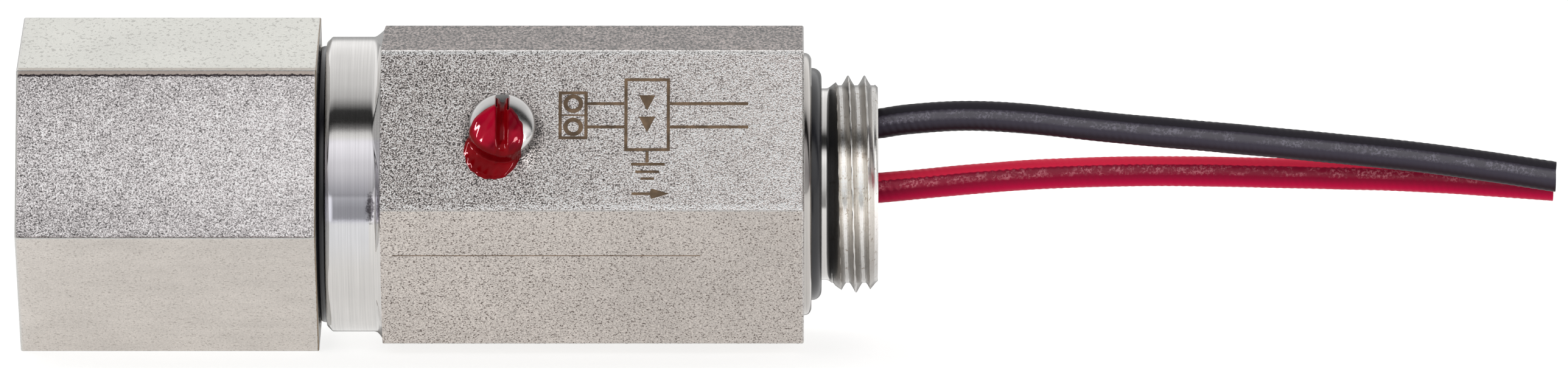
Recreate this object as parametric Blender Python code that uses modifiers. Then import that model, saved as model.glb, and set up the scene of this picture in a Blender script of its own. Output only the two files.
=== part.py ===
"""Screw-in surge arrester for a two-wire field instrument.

A hexagonal steel body carries the surge circuit. Its right end screws into the
instrument's M20 x 1.5 cable entry and sends out two leads. On its left end a hexagonal
sleeve screws over the terminal block and takes the cable gland.

Everything is placed along X, which is the axis of both threads. Lengths at the top are
in millimetres. X_ values are measured from the body's seating shoulder, and the whole
assembly is then moved so that the middle of its length is the origin.
"""

import math

import bmesh
import bpy
from mathutils import Matrix, Vector

MM = 0.001

# Overall layout along the axis
X_SLEEVE_LEFT = -72.1
X_SLEEVE_RIGHT = -44.87
X_COLLAR_LEFT = -44.2
X_HEX_LEFT = -39.06
X_HEX_RIGHT = -0.7
X_STUB_END = 6.06
X_LEAD_END = 67.8

# Hexagons
HEX_ACROSS_FLATS = 27.0
SLEEVE_TURN_DEG = 9.5
HEX_CLEAR_RADIUS = 15.9

# Body
COLLAR_RADIUS = 13.47
FLANGE_RADIUS = 12.0
MAIN_BORE_RADIUS = 9.5
X_MAIN_BORE_END = -8.0
STUB_BORE_RADIUS = 7.3

# Threads
THREAD_PITCH = 1.5
STUB_CREST_RADIUS = 9.92
STUB_ROOT_RADIUS = 9.03
STUB_UNDERCUT_RADIUS = 8.75
X_NECK_LEFT = -53.5
NECK_CREST_RADIUS = 11.9
NECK_ROOT_RADIUS = 11.05
NECK_UNDERCUT_RADIUS = 10.72

# Sealing rings
RING_CORD_RADIUS = 0.89
X_SLEEVE_RING = -44.3
SLEEVE_RING_RADIUS = 11.76
X_STUB_RING = 0.05
STUB_RING_RADIUS = 9.74
RING_GROOVE_OUTER_SLEEVE = 12.75
RING_GROOVE_OUTER_STUB = 10.75

# Sleeve hollow
ENTRY_MINOR_RADIUS = 9.19
X_ENTRY_END = -64.5
CHAMBER_RADIUS = 11.0
X_CHAMBER_END = -55.5
SLEEVE_THREAD_RADIUS = 12.05
SLEEVE_RING_RECESS = 0.6

# Earth screw, on the centre line of the face that looks up and forward
X_EARTH_SCREW = -28.0
SCREW_FACE_DEG = 30.0
SCREW_HEAD_RADIUS = 3.0
SCREW_HEAD_HEIGHT = 2.45
SCREW_HEAD_EDGE = 1.55
SCREW_SHANK_RADIUS = 1.7
SCREW_HOLE_RADIUS = 1.85
SCREW_TIP_DEPTH = 6.1
SCREW_SLOT_WIDTH = 1.2
SCREW_SLOT_DEPTH = 1.1
LACQUER_THICKNESS = 0.28

# Insulating tube and circuit board
TUBE_OUTER_RADIUS = 9.2
TUBE_INNER_RADIUS = 8.6
X_TUBE_LEFT = -51.5
X_TUBE_RIGHT = -8.6
BOARD_THICKNESS = 1.6
BOARD_WIDTH = 15.0
X_BOARD_LEFT = -54.0
X_BOARD_RIGHT = -10.0

# Terminal block, two poles side by side
X_BLOCK_LEFT = -63.5
X_BLOCK_RIGHT = -52.6
BLOCK_WIDTH = 11.2
Z_BLOCK_BOTTOM = -3.8
Z_BLOCK_TOP = 7.0
POLE_PITCH = 5.2
X_TERMINAL_SCREW = -58.0
CHAMBER_WIDTH = 4.2
CHAMBER_LENGTH = 5.4
Z_CLAMP_CHAMBER_BOTTOM = -2.7
Z_CLAMP_CHAMBER_TOP = 4.95
CAGE_WIDTH = 3.9
CAGE_LENGTH = 4.6
Z_CAGE_BOTTOM = -2.4
Z_CAGE_TOP = 2.75
CAGE_WALL = 0.45
CAGE_THREADED_WALL = 0.9
CONTACT_WIDTH = 2.2
CONTACT_THICKNESS = 0.8
CONTACT_LIFT = 0.1
TERMINAL_HEAD_RADIUS = 1.85
TERMINAL_SHANK_RADIUS = 1.35

# Surge parts on the board
TUBE_ELECTRODE_RADIUS = 3.0
TUBE_CERAMIC_RADIUS = 2.85
X_GAS_TUBE = -40.5
X_RESISTOR = -19.0
X_DIODE = -38.0

# Leads
LEAD_RADIUS = 1.39
CONDUCTOR_RADIUS = 0.72
INSULATION_BORE_RADIUS = 0.78
X_LEAD_START = -6.5
X_PLUG_LEFT = -7.6
X_PLUG_RIGHT = 5.1
BLACK_EXIT = (1.4, 5.35)
RED_EXIT = (0.2, -0.4)

CLEARANCE = 0.1
ROUND_SEGMENTS = 40

X_SHIFT = -(X_SLEEVE_LEFT + X_LEAD_END) / 2


# ---------------------------------------------------------------- scene and materials


def clear_scene():
    for obj in list(bpy.data.objects):
        bpy.data.objects.remove(obj, do_unlink=True)


def new_collection(name):
    made = bpy.data.collections.new(name)
    bpy.context.scene.collection.children.link(made)
    return made


def new_material(name, colour, roughness, metallic=0.0):
    made = bpy.data.materials.new(name)
    made.use_nodes = True
    shader = made.node_tree.nodes["Principled BSDF"]
    shader.inputs["Base Color"].default_value = (*colour, 1.0)
    shader.inputs["Roughness"].default_value = roughness
    shader.inputs["Metallic"].default_value = metallic
    made.diffuse_color = (*colour, 1.0)
    return made


def new_empty(name, parent=None, location=(0, 0, 0)):
    made = bpy.data.objects.new(name, None)
    made.empty_display_size = 0.005
    made.location = Vector(location) * MM
    made.parent = parent
    PARTS.objects.link(made)
    return made


def add_object(name, data, collection, parent=None):
    made = bpy.data.objects.new(name, data)
    made.parent = parent
    collection.objects.link(made)
    return made


def finish(obj, material, parent, sharp_deg=35):
    """Gives a piece its material and parent, and smooths its round stretches."""
    obj.data.materials.append(material)
    obj.parent = parent
    if obj.type == "MESH":
        obj.data.shade_smooth()
        obj.data.set_sharp_from_angle(angle=math.radians(sharp_deg))
    return obj


def as_cutter(obj):
    """Moves an object among the cutters, which are neither drawn nor built."""
    for owner in list(obj.users_collection):
        owner.objects.unlink(obj)
    CUTTERS.objects.link(obj)
    obj.hide_render = True
    obj.display_type = "WIRE"
    return obj


def apply_boolean(obj, other, operation):
    modifier = obj.modifiers.new(operation.lower() + "_" + other.name, "BOOLEAN")
    modifier.operation = operation
    modifier.solver = "EXACT"
    modifier.object = as_cutter(other)


# ---------------------------------------------------------------- basic shapes


def mesh_object(name, mesh_builder, parent=None):
    """An object whose mesh is drawn by mesh_builder in a bmesh, in millimetres."""
    drawn = bmesh.new()
    mesh_builder(drawn)
    bmesh.ops.scale(drawn, vec=(MM, MM, MM), verts=drawn.verts)
    mesh = bpy.data.meshes.new(name)
    drawn.to_mesh(mesh)
    drawn.free()
    return add_object(name, mesh, PARTS, parent)


def box(name, low, high, parent=None):
    low, high = Vector(low), Vector(high)
    size = Matrix.Diagonal((*(high - low), 1.0))
    place = Matrix.Translation((low + high) / 2) @ size
    return mesh_object(name, lambda drawn: bmesh.ops.create_cube(drawn, size=1.0, matrix=place), parent)


def cylinder(name, start, end, radius, segments=ROUND_SEGMENTS, parent=None):
    """A closed cylinder from one point to another."""
    start, end = Vector(start), Vector(end)
    along = end - start
    place = Matrix.Translation((start + end) / 2) @ along.to_track_quat("Z", "Y").to_matrix().to_4x4()

    def draw(drawn):
        bmesh.ops.create_cone(
            drawn,
            cap_ends=True,
            segments=segments,
            radius1=radius,
            radius2=radius,
            depth=along.length,
            matrix=place,
        )

    return mesh_object(name, draw, parent)


def turned(name, profile, closed=False, segments=ROUND_SEGMENTS, along_x=True, parent=None):
    """A turned shape from (position along the axis, radius) pairs, listed in either direction."""
    area = 0.0
    for (along_a, radius_a), (along_b, radius_b) in zip(profile, profile[1:] + profile[:1]):
        area += radius_a * along_b - radius_b * along_a
    outline = profile if area < 0 else profile[::-1]

    def draw(drawn):
        points = [drawn.verts.new((radius, 0.0, along)) for along, radius in outline]
        for first, second in zip(points, points[1:]):
            drawn.edges.new((first, second))
        if closed:
            drawn.edges.new((points[-1], points[0]))

    made = mesh_object(name, draw, parent)
    screw = made.modifiers.new("turn", "SCREW")
    screw.axis = "Z"
    screw.steps = segments
    screw.render_steps = segments
    screw.use_merge_vertices = True
    screw.merge_threshold = 0.00001
    if along_x:
        made.rotation_euler = (0.0, math.radians(90), 0.0)
    return made


def hexagon_bar(name, left, right, turn_deg=0.0):
    """A hexagonal bar along X, with corners at the front and back and flats above and below."""
    flats_up_deg = 30.0
    place = Matrix.Rotation(math.radians(flats_up_deg + turn_deg), 4, "X")
    place = place @ Matrix.Translation(((left + right) / 2, 0, 0))
    place = place @ Matrix.Rotation(math.radians(90), 4, "Z") @ Matrix.Rotation(math.radians(90), 4, "X")

    def draw(drawn):
        bmesh.ops.create_cone(
            drawn,
            cap_ends=True,
            segments=6,
            radius1=HEX_ACROSS_FLATS / math.sqrt(3),
            radius2=HEX_ACROSS_FLATS / math.sqrt(3),
            depth=right - left,
            matrix=place,
        )

    return mesh_object(name, draw)


def flat_outline(name, points, thickness, place, parent=None):
    """A flat plate from a closed outline, as a mesh that Booleans can use."""
    curve = bpy.data.curves.new(name, "CURVE")
    curve.dimensions = "2D"
    curve.fill_mode = "BOTH"
    curve.extrude = thickness / 2 * MM
    spline = curve.splines.new("POLY")
    spline.points.add(len(points) - 1)
    for point, (across, up) in zip(spline.points, points):
        point.co = (across * MM, up * MM, 0.0, 1.0)
    spline.use_cyclic_u = True
    return curve_as_mesh(name, curve, place, parent)


def curve_as_mesh(name, curve, place=None, parent=None):
    """Turns a curve into a mesh object with its caps welded to its sides."""
    guide = bpy.data.objects.new(name + "_guide", curve)
    PARTS.objects.link(guide)
    bpy.context.view_layer.update()
    evaluated = guide.evaluated_get(bpy.context.evaluated_depsgraph_get())
    mesh = bpy.data.meshes.new_from_object(evaluated)
    mesh.name = name
    welded = bmesh.new()
    welded.from_mesh(mesh)
    bmesh.ops.remove_doubles(welded, verts=welded.verts, dist=1e-7)
    bmesh.ops.recalc_face_normals(welded, faces=welded.faces)
    if place is not None:
        bmesh.ops.transform(welded, matrix=place, verts=welded.verts)
    welded.to_mesh(mesh)
    welded.free()
    bpy.data.objects.remove(guide, do_unlink=True)
    bpy.data.curves.remove(curve)
    return add_object(name, mesh, PARTS, parent)


# ---------------------------------------------------------------- threads


def thread_height(turns):
    """Height of a rounded thread, 0 at the root and 1 at the crest, for a place in its pitch."""
    wave = 0.5 + 0.62 * math.cos(2 * math.pi * turns)
    return min(max(wave, 0.0), 1.0)


def envelope_radius(envelope, along):
    """Radius of the turned blank at a place along the axis, from its (place, radius) corners."""
    for (start, start_radius), (end, end_radius) in zip(envelope, envelope[1:]):
        if along <= end:
            share = (along - start) / (end - start)
            return start_radius + share * (end_radius - start_radius)
    return envelope[-1][1]


def threaded_bar(name, envelope, root_radius, crest_radius, columns=32, lines_per_pitch=4):
    """A solid bar with a right-hand thread along X, cut into the turned blank of the envelope.

    Lines of points follow the thread round the bar. A line that runs off an end is held
    at that end, where its points merge with the end's rim.
    """
    left, right = envelope[0][0], envelope[-1][0]
    line_step = THREAD_PITCH / lines_per_pitch
    line_count = math.ceil((right - left) / line_step) + lines_per_pitch + 1

    def point(line, column):
        free = left - THREAD_PITCH + (line + column * lines_per_pitch / columns) * line_step
        along = min(max(free, left), right)
        angle = 2 * math.pi * column / columns
        height = thread_height(along / THREAD_PITCH - column / columns)
        cut = root_radius + height * (crest_radius - root_radius)
        radius = min(cut, envelope_radius(envelope, along))
        return (along, radius * math.cos(angle), radius * math.sin(angle))

    def draw(drawn):
        grid = [
            [drawn.verts.new(point(line, column)) for column in range(columns + 1)]
            for line in range(line_count + 1)
        ]
        for lower, upper in zip(grid, grid[1:]):
            for column in range(columns):
                corners = (lower[column], upper[column], upper[column + 1], lower[column + 1])
                drawn.faces.new(corners)
        bmesh.ops.remove_doubles(drawn, verts=drawn.verts, dist=1e-4)
        bmesh.ops.holes_fill(drawn, edges=[edge for edge in drawn.edges if edge.is_boundary])
        bmesh.ops.recalc_face_normals(drawn, faces=drawn.faces)

    return mesh_object(name, draw)


# ---------------------------------------------------------------- body


def body_blank():
    """The body's turned outside, before its hexagon is cut and without its threads."""
    hex_blank = [
        (X_COLLAR_LEFT + 0.48, COLLAR_RADIUS),
        (-40.4, COLLAR_RADIUS),
        (-39.95, 13.6),
        (-39.5, 13.9),
        (-39.2, 14.4),
        (X_HEX_LEFT, 15.0),
        (X_HEX_LEFT, HEX_CLEAR_RADIUS),
        (X_HEX_RIGHT, HEX_CLEAR_RADIUS),
        (X_HEX_RIGHT, FLANGE_RADIUS),
    ]
    collar_groove = [
        (-46.7, 0.0),
        (-46.7, 10.2),
        (-46.2, NECK_UNDERCUT_RADIUS),
        (-43.3, NECK_UNDERCUT_RADIUS),
        (-43.3, RING_GROOVE_OUTER_SLEEVE),
        (X_COLLAR_LEFT, RING_GROOVE_OUTER_SLEEVE),
        (X_COLLAR_LEFT, 13.02),
    ]
    flange_and_groove = [
        (-0.45, 11.94),
        (-0.18, 11.74),
        (0.0, 11.4),
        (0.0, RING_GROOVE_OUTER_STUB),
        (-0.95, RING_GROOVE_OUTER_STUB),
        (-0.95, STUB_UNDERCUT_RADIUS),
        (1.53, STUB_UNDERCUT_RADIUS),
        (1.95, 8.1),
        (1.95, 0.0),
    ]
    return turned("body_housing", collar_groove + hex_blank + flange_and_groove)


def body_housing(material, parent):
    body = body_blank()
    apply_boolean(body, hexagon_bar("body_hexagon", -60.0, 10.0), "INTERSECT")
    neck_envelope = [
        (X_NECK_LEFT, 10.95),
        (X_NECK_LEFT + 0.95, NECK_CREST_RADIUS),
        (-47.2, NECK_CREST_RADIUS),
        (-46.0, 10.45),
    ]
    neck = threaded_bar("neck_thread", neck_envelope, NECK_ROOT_RADIUS, NECK_CREST_RADIUS)
    apply_boolean(body, neck, "UNION")
    stub_envelope = [
        (1.3, 8.45),
        (2.4, 9.45),
        (3.1, STUB_CREST_RADIUS),
        (5.15, STUB_CREST_RADIUS),
        (X_STUB_END - 0.2, 9.05),
        (X_STUB_END, 8.9),
    ]
    stub = threaded_bar("stub_thread", stub_envelope, STUB_ROOT_RADIUS, STUB_CREST_RADIUS)
    apply_boolean(body, stub, "UNION")
    bore = turned(
        "body_bore",
        [
            (X_NECK_LEFT - 2, 0.0),
            (X_NECK_LEFT - 2, MAIN_BORE_RADIUS),
            (X_MAIN_BORE_END, MAIN_BORE_RADIUS),
            (X_MAIN_BORE_END, STUB_BORE_RADIUS),
            (X_STUB_END + 2, STUB_BORE_RADIUS),
            (X_STUB_END + 2, 0.0),
        ],
    )
    apply_boolean(body, bore, "DIFFERENCE")
    hole = cylinder(
        "earth_screw_hole",
        screw_point(-6.0),
        screw_point(2.0),
        SCREW_HOLE_RADIUS,
        segments=24,
    )
    apply_boolean(body, hole, "DIFFERENCE")
    return finish(body, material, parent)


# ---------------------------------------------------------------- sleeve and sealing rings


def terminal_sleeve(material, parent):
    sleeve = hexagon_bar("terminal_sleeve", X_SLEEVE_LEFT, X_SLEEVE_RIGHT, SLEEVE_TURN_DEG)
    hollow = turned(
        "sleeve_hollow",
        [
            (X_SLEEVE_LEFT - 1.0, 0.0),
            (X_SLEEVE_LEFT - 1.0, ENTRY_MINOR_RADIUS + 2.0),
            (X_SLEEVE_LEFT + 1.0, ENTRY_MINOR_RADIUS),
            (X_ENTRY_END, ENTRY_MINOR_RADIUS),
            (X_ENTRY_END, CHAMBER_RADIUS),
            (X_CHAMBER_END, CHAMBER_RADIUS),
            (X_CHAMBER_END, SLEEVE_THREAD_RADIUS),
            (X_SLEEVE_RIGHT - SLEEVE_RING_RECESS, SLEEVE_THREAD_RADIUS),
            (X_SLEEVE_RIGHT - SLEEVE_RING_RECESS, RING_GROOVE_OUTER_SLEEVE + 0.05),
            (X_SLEEVE_RIGHT + 1.0, RING_GROOVE_OUTER_SLEEVE + 0.05),
            (X_SLEEVE_RIGHT + 1.0, 0.0),
        ],
    )
    apply_boolean(sleeve, hollow, "DIFFERENCE")
    return finish(sleeve, material, parent)


def sealing_ring(name, ring_x, ring_radius, material, parent):
    sides = 8
    profile = []
    for side in range(sides):
        angle = 2 * math.pi * side / sides
        along = ring_x + RING_CORD_RADIUS * math.cos(angle)
        profile.append((along, ring_radius + RING_CORD_RADIUS * math.sin(angle)))
    return finish(turned(name, profile, closed=True), material, parent)


# ---------------------------------------------------------------- earth screw and its seal


def screw_direction():
    angle = math.radians(SCREW_FACE_DEG)
    return Vector((0.0, -math.cos(angle), math.sin(angle)))


def screw_point(height):
    """The point at this height above the hexagon's face on the earth screw's axis."""
    return Vector((X_EARTH_SCREW, 0.0, 0.0)) + screw_direction() * (HEX_ACROSS_FLATS / 2 + height)


def screw_frame(parent):
    """An empty on the face, its Z along the screw and its X along the body."""
    frame = new_empty("earth_screw_axis", parent, screw_point(0.0))
    outward = screw_direction()
    frame.rotation_euler = Matrix((
        (1.0, 0.0, 0.0),
        outward.cross(Vector((1.0, 0.0, 0.0))),
        outward,
    )).transposed().to_euler()
    return frame


def head_profile(grow, foot):
    """A low domed head, grown outwards all round, with its underside at height foot."""
    radius = SCREW_HEAD_RADIUS + grow
    edge_height = SCREW_HEAD_EDGE + grow
    top = SCREW_HEAD_HEIGHT + grow
    profile = [(foot, 0.0), (foot, radius), (edge_height, radius)]
    arcs = 5
    for step in range(1, arcs):
        angle = math.pi / 2 * step / arcs
        height = edge_height + (top - edge_height) * math.sin(angle)
        profile.append((height, radius * math.cos(angle) ** 0.8))
    profile.append((top, 0.0))
    return profile


def earth_screw(material, parent):
    shank = [(-SCREW_TIP_DEPTH, 0.0), (-SCREW_TIP_DEPTH, 1.3), (-SCREW_TIP_DEPTH + 0.4, SCREW_SHANK_RADIUS)]
    shank.append((0.06, SCREW_SHANK_RADIUS))
    screw = turned("earth_screw", shank + head_profile(0.0, 0.06)[1:], segments=24, along_x=False)
    slot_floor = SCREW_HEAD_HEIGHT - SCREW_SLOT_DEPTH
    half = SCREW_SLOT_WIDTH / 2
    slot = box("screw_slot", (-half, -4.0, slot_floor), (half, 4.0, 4.0), parent)
    apply_boolean(screw, slot, "DIFFERENCE")
    return finish(screw, material, parent)


def lacquer_outline():
    """The lacquer's edge on the head, seen from above, a rounded band that widens downwards."""
    points = []
    steps = 16
    for step in range(steps):
        angle = 2 * math.pi * step / steps
        width = 2.1 - 0.3 * math.sin(angle)
        points.append((width * math.cos(angle) - 0.35, 2.7 * math.sin(angle) - 0.8))
    return points


def seal_lacquer(material, parent):
    """Sealing lacquer that fills the slot, covers the middle of the head and runs down the face."""
    film = turned("seal_lacquer", head_profile(LACQUER_THICKNESS, CLEARANCE), segments=24, along_x=False)
    edge = flat_outline(
        "lacquer_edge",
        lacquer_outline(),
        6.0,
        Matrix.Translation((0.0, 0.0, 1.5 * MM)),
        parent,
    )
    apply_boolean(film, edge, "INTERSECT")

    def draw_puddle(drawn):
        shape = Matrix.Translation((-0.95, -2.75, CLEARANCE)) @ Matrix.Diagonal((2.35, 1.92, 0.42, 1.0))
        bmesh.ops.create_uvsphere(drawn, u_segments=20, v_segments=8, radius=1.0, matrix=shape)

    apply_boolean(film, mesh_object("lacquer_puddle", draw_puddle, parent), "UNION")
    head_room = turned("lacquer_head_room", head_profile(0.06, -1.0), segments=24, along_x=False)
    head_room.parent = parent
    apply_boolean(film, head_room, "DIFFERENCE")
    face_room = box("lacquer_face_room", (-9, -9, -3), (9, 9, CLEARANCE), parent)
    apply_boolean(film, face_room, "DIFFERENCE")
    half = SCREW_SLOT_WIDTH / 2 - 0.07
    slot_floor = SCREW_HEAD_HEIGHT - SCREW_SLOT_DEPTH
    fill = box("lacquer_slot_fill", (-half, -2.9, slot_floor + 0.07), (half, 1.5, SCREW_HEAD_HEIGHT), parent)
    fill_profile = head_profile(LACQUER_THICKNESS / 2, -1.0)
    fill_top = turned("lacquer_fill_top", fill_profile, segments=24, along_x=False)
    fill_top.parent = parent
    apply_boolean(fill, fill_top, "INTERSECT")
    apply_boolean(film, fill, "UNION")
    return finish(film, material, parent)


# ---------------------------------------------------------------- inside the body


def insulating_tube(material, parent):
    tube = turned(
        "insulating_tube",
        [
            (X_TUBE_LEFT, TUBE_INNER_RADIUS),
            (X_TUBE_LEFT, TUBE_OUTER_RADIUS),
            (X_TUBE_RIGHT, TUBE_OUTER_RADIUS),
            (X_TUBE_RIGHT, TUBE_INNER_RADIUS),
        ],
        closed=True,
        segments=32,
    )
    hole = cylinder("tube_screw_hole", screw_point(-7.0), screw_point(-2.0), 2.2, segments=20)
    apply_boolean(tube, hole, "DIFFERENCE")
    return finish(tube, material, parent)


def circuit_board(material, parent):
    half = BOARD_THICKNESS / 2
    board = box(
        "circuit_board",
        (X_BOARD_LEFT, -BOARD_WIDTH / 2, -half),
        (X_BOARD_RIGHT, BOARD_WIDTH / 2, half),
    )
    # The board's left end narrows to a tongue that fits the terminal block.
    for side in (-1, 1):
        edge = side * BOARD_WIDTH / 2
        low, high = sorted((edge + side, side * (BLOCK_WIDTH / 2 - 1.0)))
        notch = box(f"board_notch_{side + 1}", (X_BOARD_LEFT - 1, low, -2), (-52.2, high, 2))
        apply_boolean(board, notch, "DIFFERENCE")
    return finish(board, material, parent)


def ribbon(points, thickness):
    """The outline of a bent strip: its centre line offset to both sides, with mitred bends."""
    line = [Vector(point) for point in points]
    left, right = [], []
    for index, point in enumerate(line):
        before = (point - line[index - 1]).normalized() if index else None
        after = (line[index + 1] - point).normalized() if index + 1 < len(line) else None
        before = before or after
        after = after or before
        across = Vector((-(before + after).y, (before + after).x)).normalized()
        reach = thickness / 2 / max(across.dot(Vector((-after.y, after.x))), 0.3)
        left.append(tuple(point + across * reach))
        right.append(tuple(point - across * reach))
    return left + right[::-1]


def earth_bracket(material, parent):
    """A bent brass strip that stands on the board's edge and meets the tip of the earth screw."""
    tip_radius = HEX_ACROSS_FLATS / 2 - SCREW_TIP_DEPTH
    outward = screw_direction()
    outward = Vector((outward.y, outward.z))
    along_face = Vector((outward.y, -outward.x))
    centre = outward * (tip_radius - 0.4)
    foot_height = BOARD_THICKNESS / 2 + 0.1 + 0.3
    points = [
        centre + along_face * 1.6,
        centre - along_face * 1.5,
        Vector((-6.75, foot_height)),
        Vector((-3.2, foot_height)),
    ]
    to_section = Matrix.Translation((X_EARTH_SCREW * MM, 0, 0))
    to_section = to_section @ Matrix.Rotation(math.radians(90), 4, "Z")
    to_section = to_section @ Matrix.Rotation(math.radians(90), 4, "X")
    strip = flat_outline("earth_bracket", ribbon(points, 0.6), 4.0, to_section)
    return finish(strip, material, parent)


def gas_tube(metal, ceramic, parent):
    """A three-electrode gas discharge tube lying along the board: disc, ceramic, disc, ceramic, disc."""
    centre_height = BOARD_THICKNESS / 2 + 0.3 + TUBE_ELECTRODE_RADIUS + 0.2
    pieces = (
        ("gas_tube_left_electrode", -4.8, -4.0, TUBE_ELECTRODE_RADIUS, metal),
        ("gas_tube_left_ceramic", -3.95, -0.45, TUBE_CERAMIC_RADIUS, ceramic),
        ("gas_tube_centre_electrode", -0.4, 0.4, TUBE_ELECTRODE_RADIUS + 0.2, metal),
        ("gas_tube_right_ceramic", 0.45, 3.95, TUBE_CERAMIC_RADIUS, ceramic),
        ("gas_tube_right_electrode", 4.0, 4.8, TUBE_ELECTRODE_RADIUS, metal),
    )
    for name, left, right, radius, material in pieces:
        start = (X_GAS_TUBE + left, 0, centre_height)
        end = (X_GAS_TUBE + right, 0, centre_height)
        finish(cylinder(name, start, end, radius, segments=24), material, parent)


def wired_barrel(name, centre, body_radius, body_length, wire_radius, foot_depth, material, parent):
    """A barrel-shaped part on two wires that bend down to the board."""
    half = body_length / 2
    profile = [
        (-half, 0.0),
        (-half, body_radius * 0.8),
        (-half + 0.5, body_radius),
        (half - 0.5, body_radius),
        (half, body_radius * 0.8),
        (half, 0.0),
    ]
    barrel = turned(name, profile, segments=16)
    barrel.location = Vector(centre) * MM
    for side, label in ((-1, "left"), (1, "right")):
        curve = bpy.data.curves.new(name + "_wire", "CURVE")
        curve.dimensions = "3D"
        curve.bevel_depth = wire_radius * MM
        curve.bevel_resolution = 1
        curve.use_fill_caps = True
        wire = curve.splines.new("POLY")
        path = [
            (half - 0.6, 0.0),
            (half + 0.9, 0.0),
            (half + 1.3, foot_depth * 0.25),
            (half + 1.3, foot_depth),
        ]
        wire.points.add(len(path) - 1)
        for point, (along, drop) in zip(wire.points, path):
            point.co = (side * along * MM, 0.0, drop * MM, 1.0)
        place = Matrix.Translation(Vector(centre) * MM)
        apply_boolean(barrel, curve_as_mesh(f"{name}_{label}_wire", curve, place), "UNION")
    return finish(barrel, material, parent)


def surge_components(materials, parent):
    gas_tube(materials["electrode_metal"], materials["ceramic_white"], parent)
    top = BOARD_THICKNESS / 2
    for side, label in ((-1, "front"), (1, "rear")):
        height = top + 2.1
        wired_barrel(
            f"decoupling_resistor_{label}",
            (X_RESISTOR, side * 4.3, height),
            1.6,
            8.0,
            0.3,
            -height + top + 0.15,
            materials["resistor_lacquer"],
            parent,
        )
    for offset, label in ((-4.6, "front"), (0.0, "middle"), (4.6, "rear")):
        height = -top - 1.9
        wired_barrel(
            f"suppressor_diode_{label}",
            (X_DIODE, offset, height),
            1.4,
            5.2,
            0.35,
            -height - top - 0.15,
            materials["diode_epoxy"],
            parent,
        )


# ---------------------------------------------------------------- terminal block


def terminal_block_body(material, parent):
    body = box(
        "terminal_block_body",
        (X_BLOCK_LEFT, -BLOCK_WIDTH / 2, Z_BLOCK_BOTTOM),
        (X_BLOCK_RIGHT, BLOCK_WIDTH / 2, Z_BLOCK_TOP),
    )
    half_board = BOARD_THICKNESS / 2
    tongue = box(
        "block_board_slot",
        (X_BOARD_LEFT - 0.3, -BLOCK_WIDTH / 2 + 0.9, -half_board - CLEARANCE),
        (X_BLOCK_RIGHT + 1.0, BLOCK_WIDTH / 2 - 0.9, half_board + CLEARANCE),
    )
    apply_boolean(body, tongue, "DIFFERENCE")
    contact_low = half_board + CONTACT_LIFT - CLEARANCE + 0.02
    contact_high = half_board + CONTACT_LIFT + CONTACT_THICKNESS + CLEARANCE
    for side, label in ((-1, "front"), (1, "rear")):
        middle = side * POLE_PITCH / 2
        chamber = box(
            f"block_chamber_{label}",
            (X_TERMINAL_SCREW - CHAMBER_LENGTH / 2, middle - CHAMBER_WIDTH / 2, Z_CLAMP_CHAMBER_BOTTOM),
            (X_TERMINAL_SCREW + CHAMBER_LENGTH / 2, middle + CHAMBER_WIDTH / 2, Z_CLAMP_CHAMBER_TOP),
        )
        apply_boolean(body, chamber, "DIFFERENCE")
        entry = cylinder(
            f"block_wire_entry_{label}",
            (X_BLOCK_LEFT - 1.0, middle, -0.35),
            (X_TERMINAL_SCREW, middle, -0.35),
            1.75,
            segments=24,
        )
        apply_boolean(body, entry, "DIFFERENCE")
        screw_room = turned(
            f"block_screw_room_{label}",
            [
                (Z_CLAMP_CHAMBER_TOP - 1.0, 0.0),
                (Z_CLAMP_CHAMBER_TOP - 1.0, TERMINAL_SHANK_RADIUS + 0.15),
                (Z_CLAMP_CHAMBER_TOP + 0.4, TERMINAL_SHANK_RADIUS + 0.15),
                (Z_CLAMP_CHAMBER_TOP + 0.4, TERMINAL_HEAD_RADIUS + 0.2),
                (Z_BLOCK_TOP + 1.0, TERMINAL_HEAD_RADIUS + 0.2),
                (Z_BLOCK_TOP + 1.0, 0.0),
            ],
            segments=24,
            along_x=False,
        )
        screw_room.location = Vector((X_TERMINAL_SCREW, middle, 0.0)) * MM
        apply_boolean(body, screw_room, "DIFFERENCE")
        contact_room = box(
            f"block_contact_room_{label}",
            (X_TERMINAL_SCREW, middle - CONTACT_WIDTH / 2 - CLEARANCE, contact_low),
            (X_BLOCK_RIGHT + 1.0, middle + CONTACT_WIDTH / 2 + CLEARANCE, contact_high),
        )
        apply_boolean(body, contact_room, "DIFFERENCE")
    return finish(body, material, parent)


def terminal_contact(label, middle, material, parent):
    low = BOARD_THICKNESS / 2 + CONTACT_LIFT
    contact = box(
        f"terminal_contact_{label}",
        (X_TERMINAL_SCREW - 2.0, middle - CONTACT_WIDTH / 2, low),
        (-49.5, middle + CONTACT_WIDTH / 2, low + CONTACT_THICKNESS),
    )
    return finish(contact, material, parent)


def clamp_cage(label, axis, material):
    """A square cage round the contact. The screw turns in its top wall and lifts it."""
    half_length, half_width = CAGE_LENGTH / 2, CAGE_WIDTH / 2
    cage = box(
        f"clamp_cage_{label}",
        (-half_length, -half_width, Z_CAGE_BOTTOM),
        (half_length, half_width, Z_CAGE_TOP),
        axis,
    )
    window = box(
        f"cage_window_{label}",
        (-half_length - 1, -half_width + CAGE_WALL, Z_CAGE_BOTTOM + CAGE_WALL),
        (half_length + 1, half_width - CAGE_WALL, Z_CAGE_TOP - CAGE_THREADED_WALL),
        axis,
    )
    apply_boolean(cage, window, "DIFFERENCE")
    hole = cylinder(
        f"cage_hole_{label}",
        (0, 0, Z_CAGE_TOP - 2.0),
        (0, 0, Z_CAGE_TOP + 1.0),
        TERMINAL_SHANK_RADIUS + 0.06,
        segments=20,
        parent=axis,
    )
    apply_boolean(cage, hole, "DIFFERENCE")
    return finish(cage, material, axis)


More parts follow.
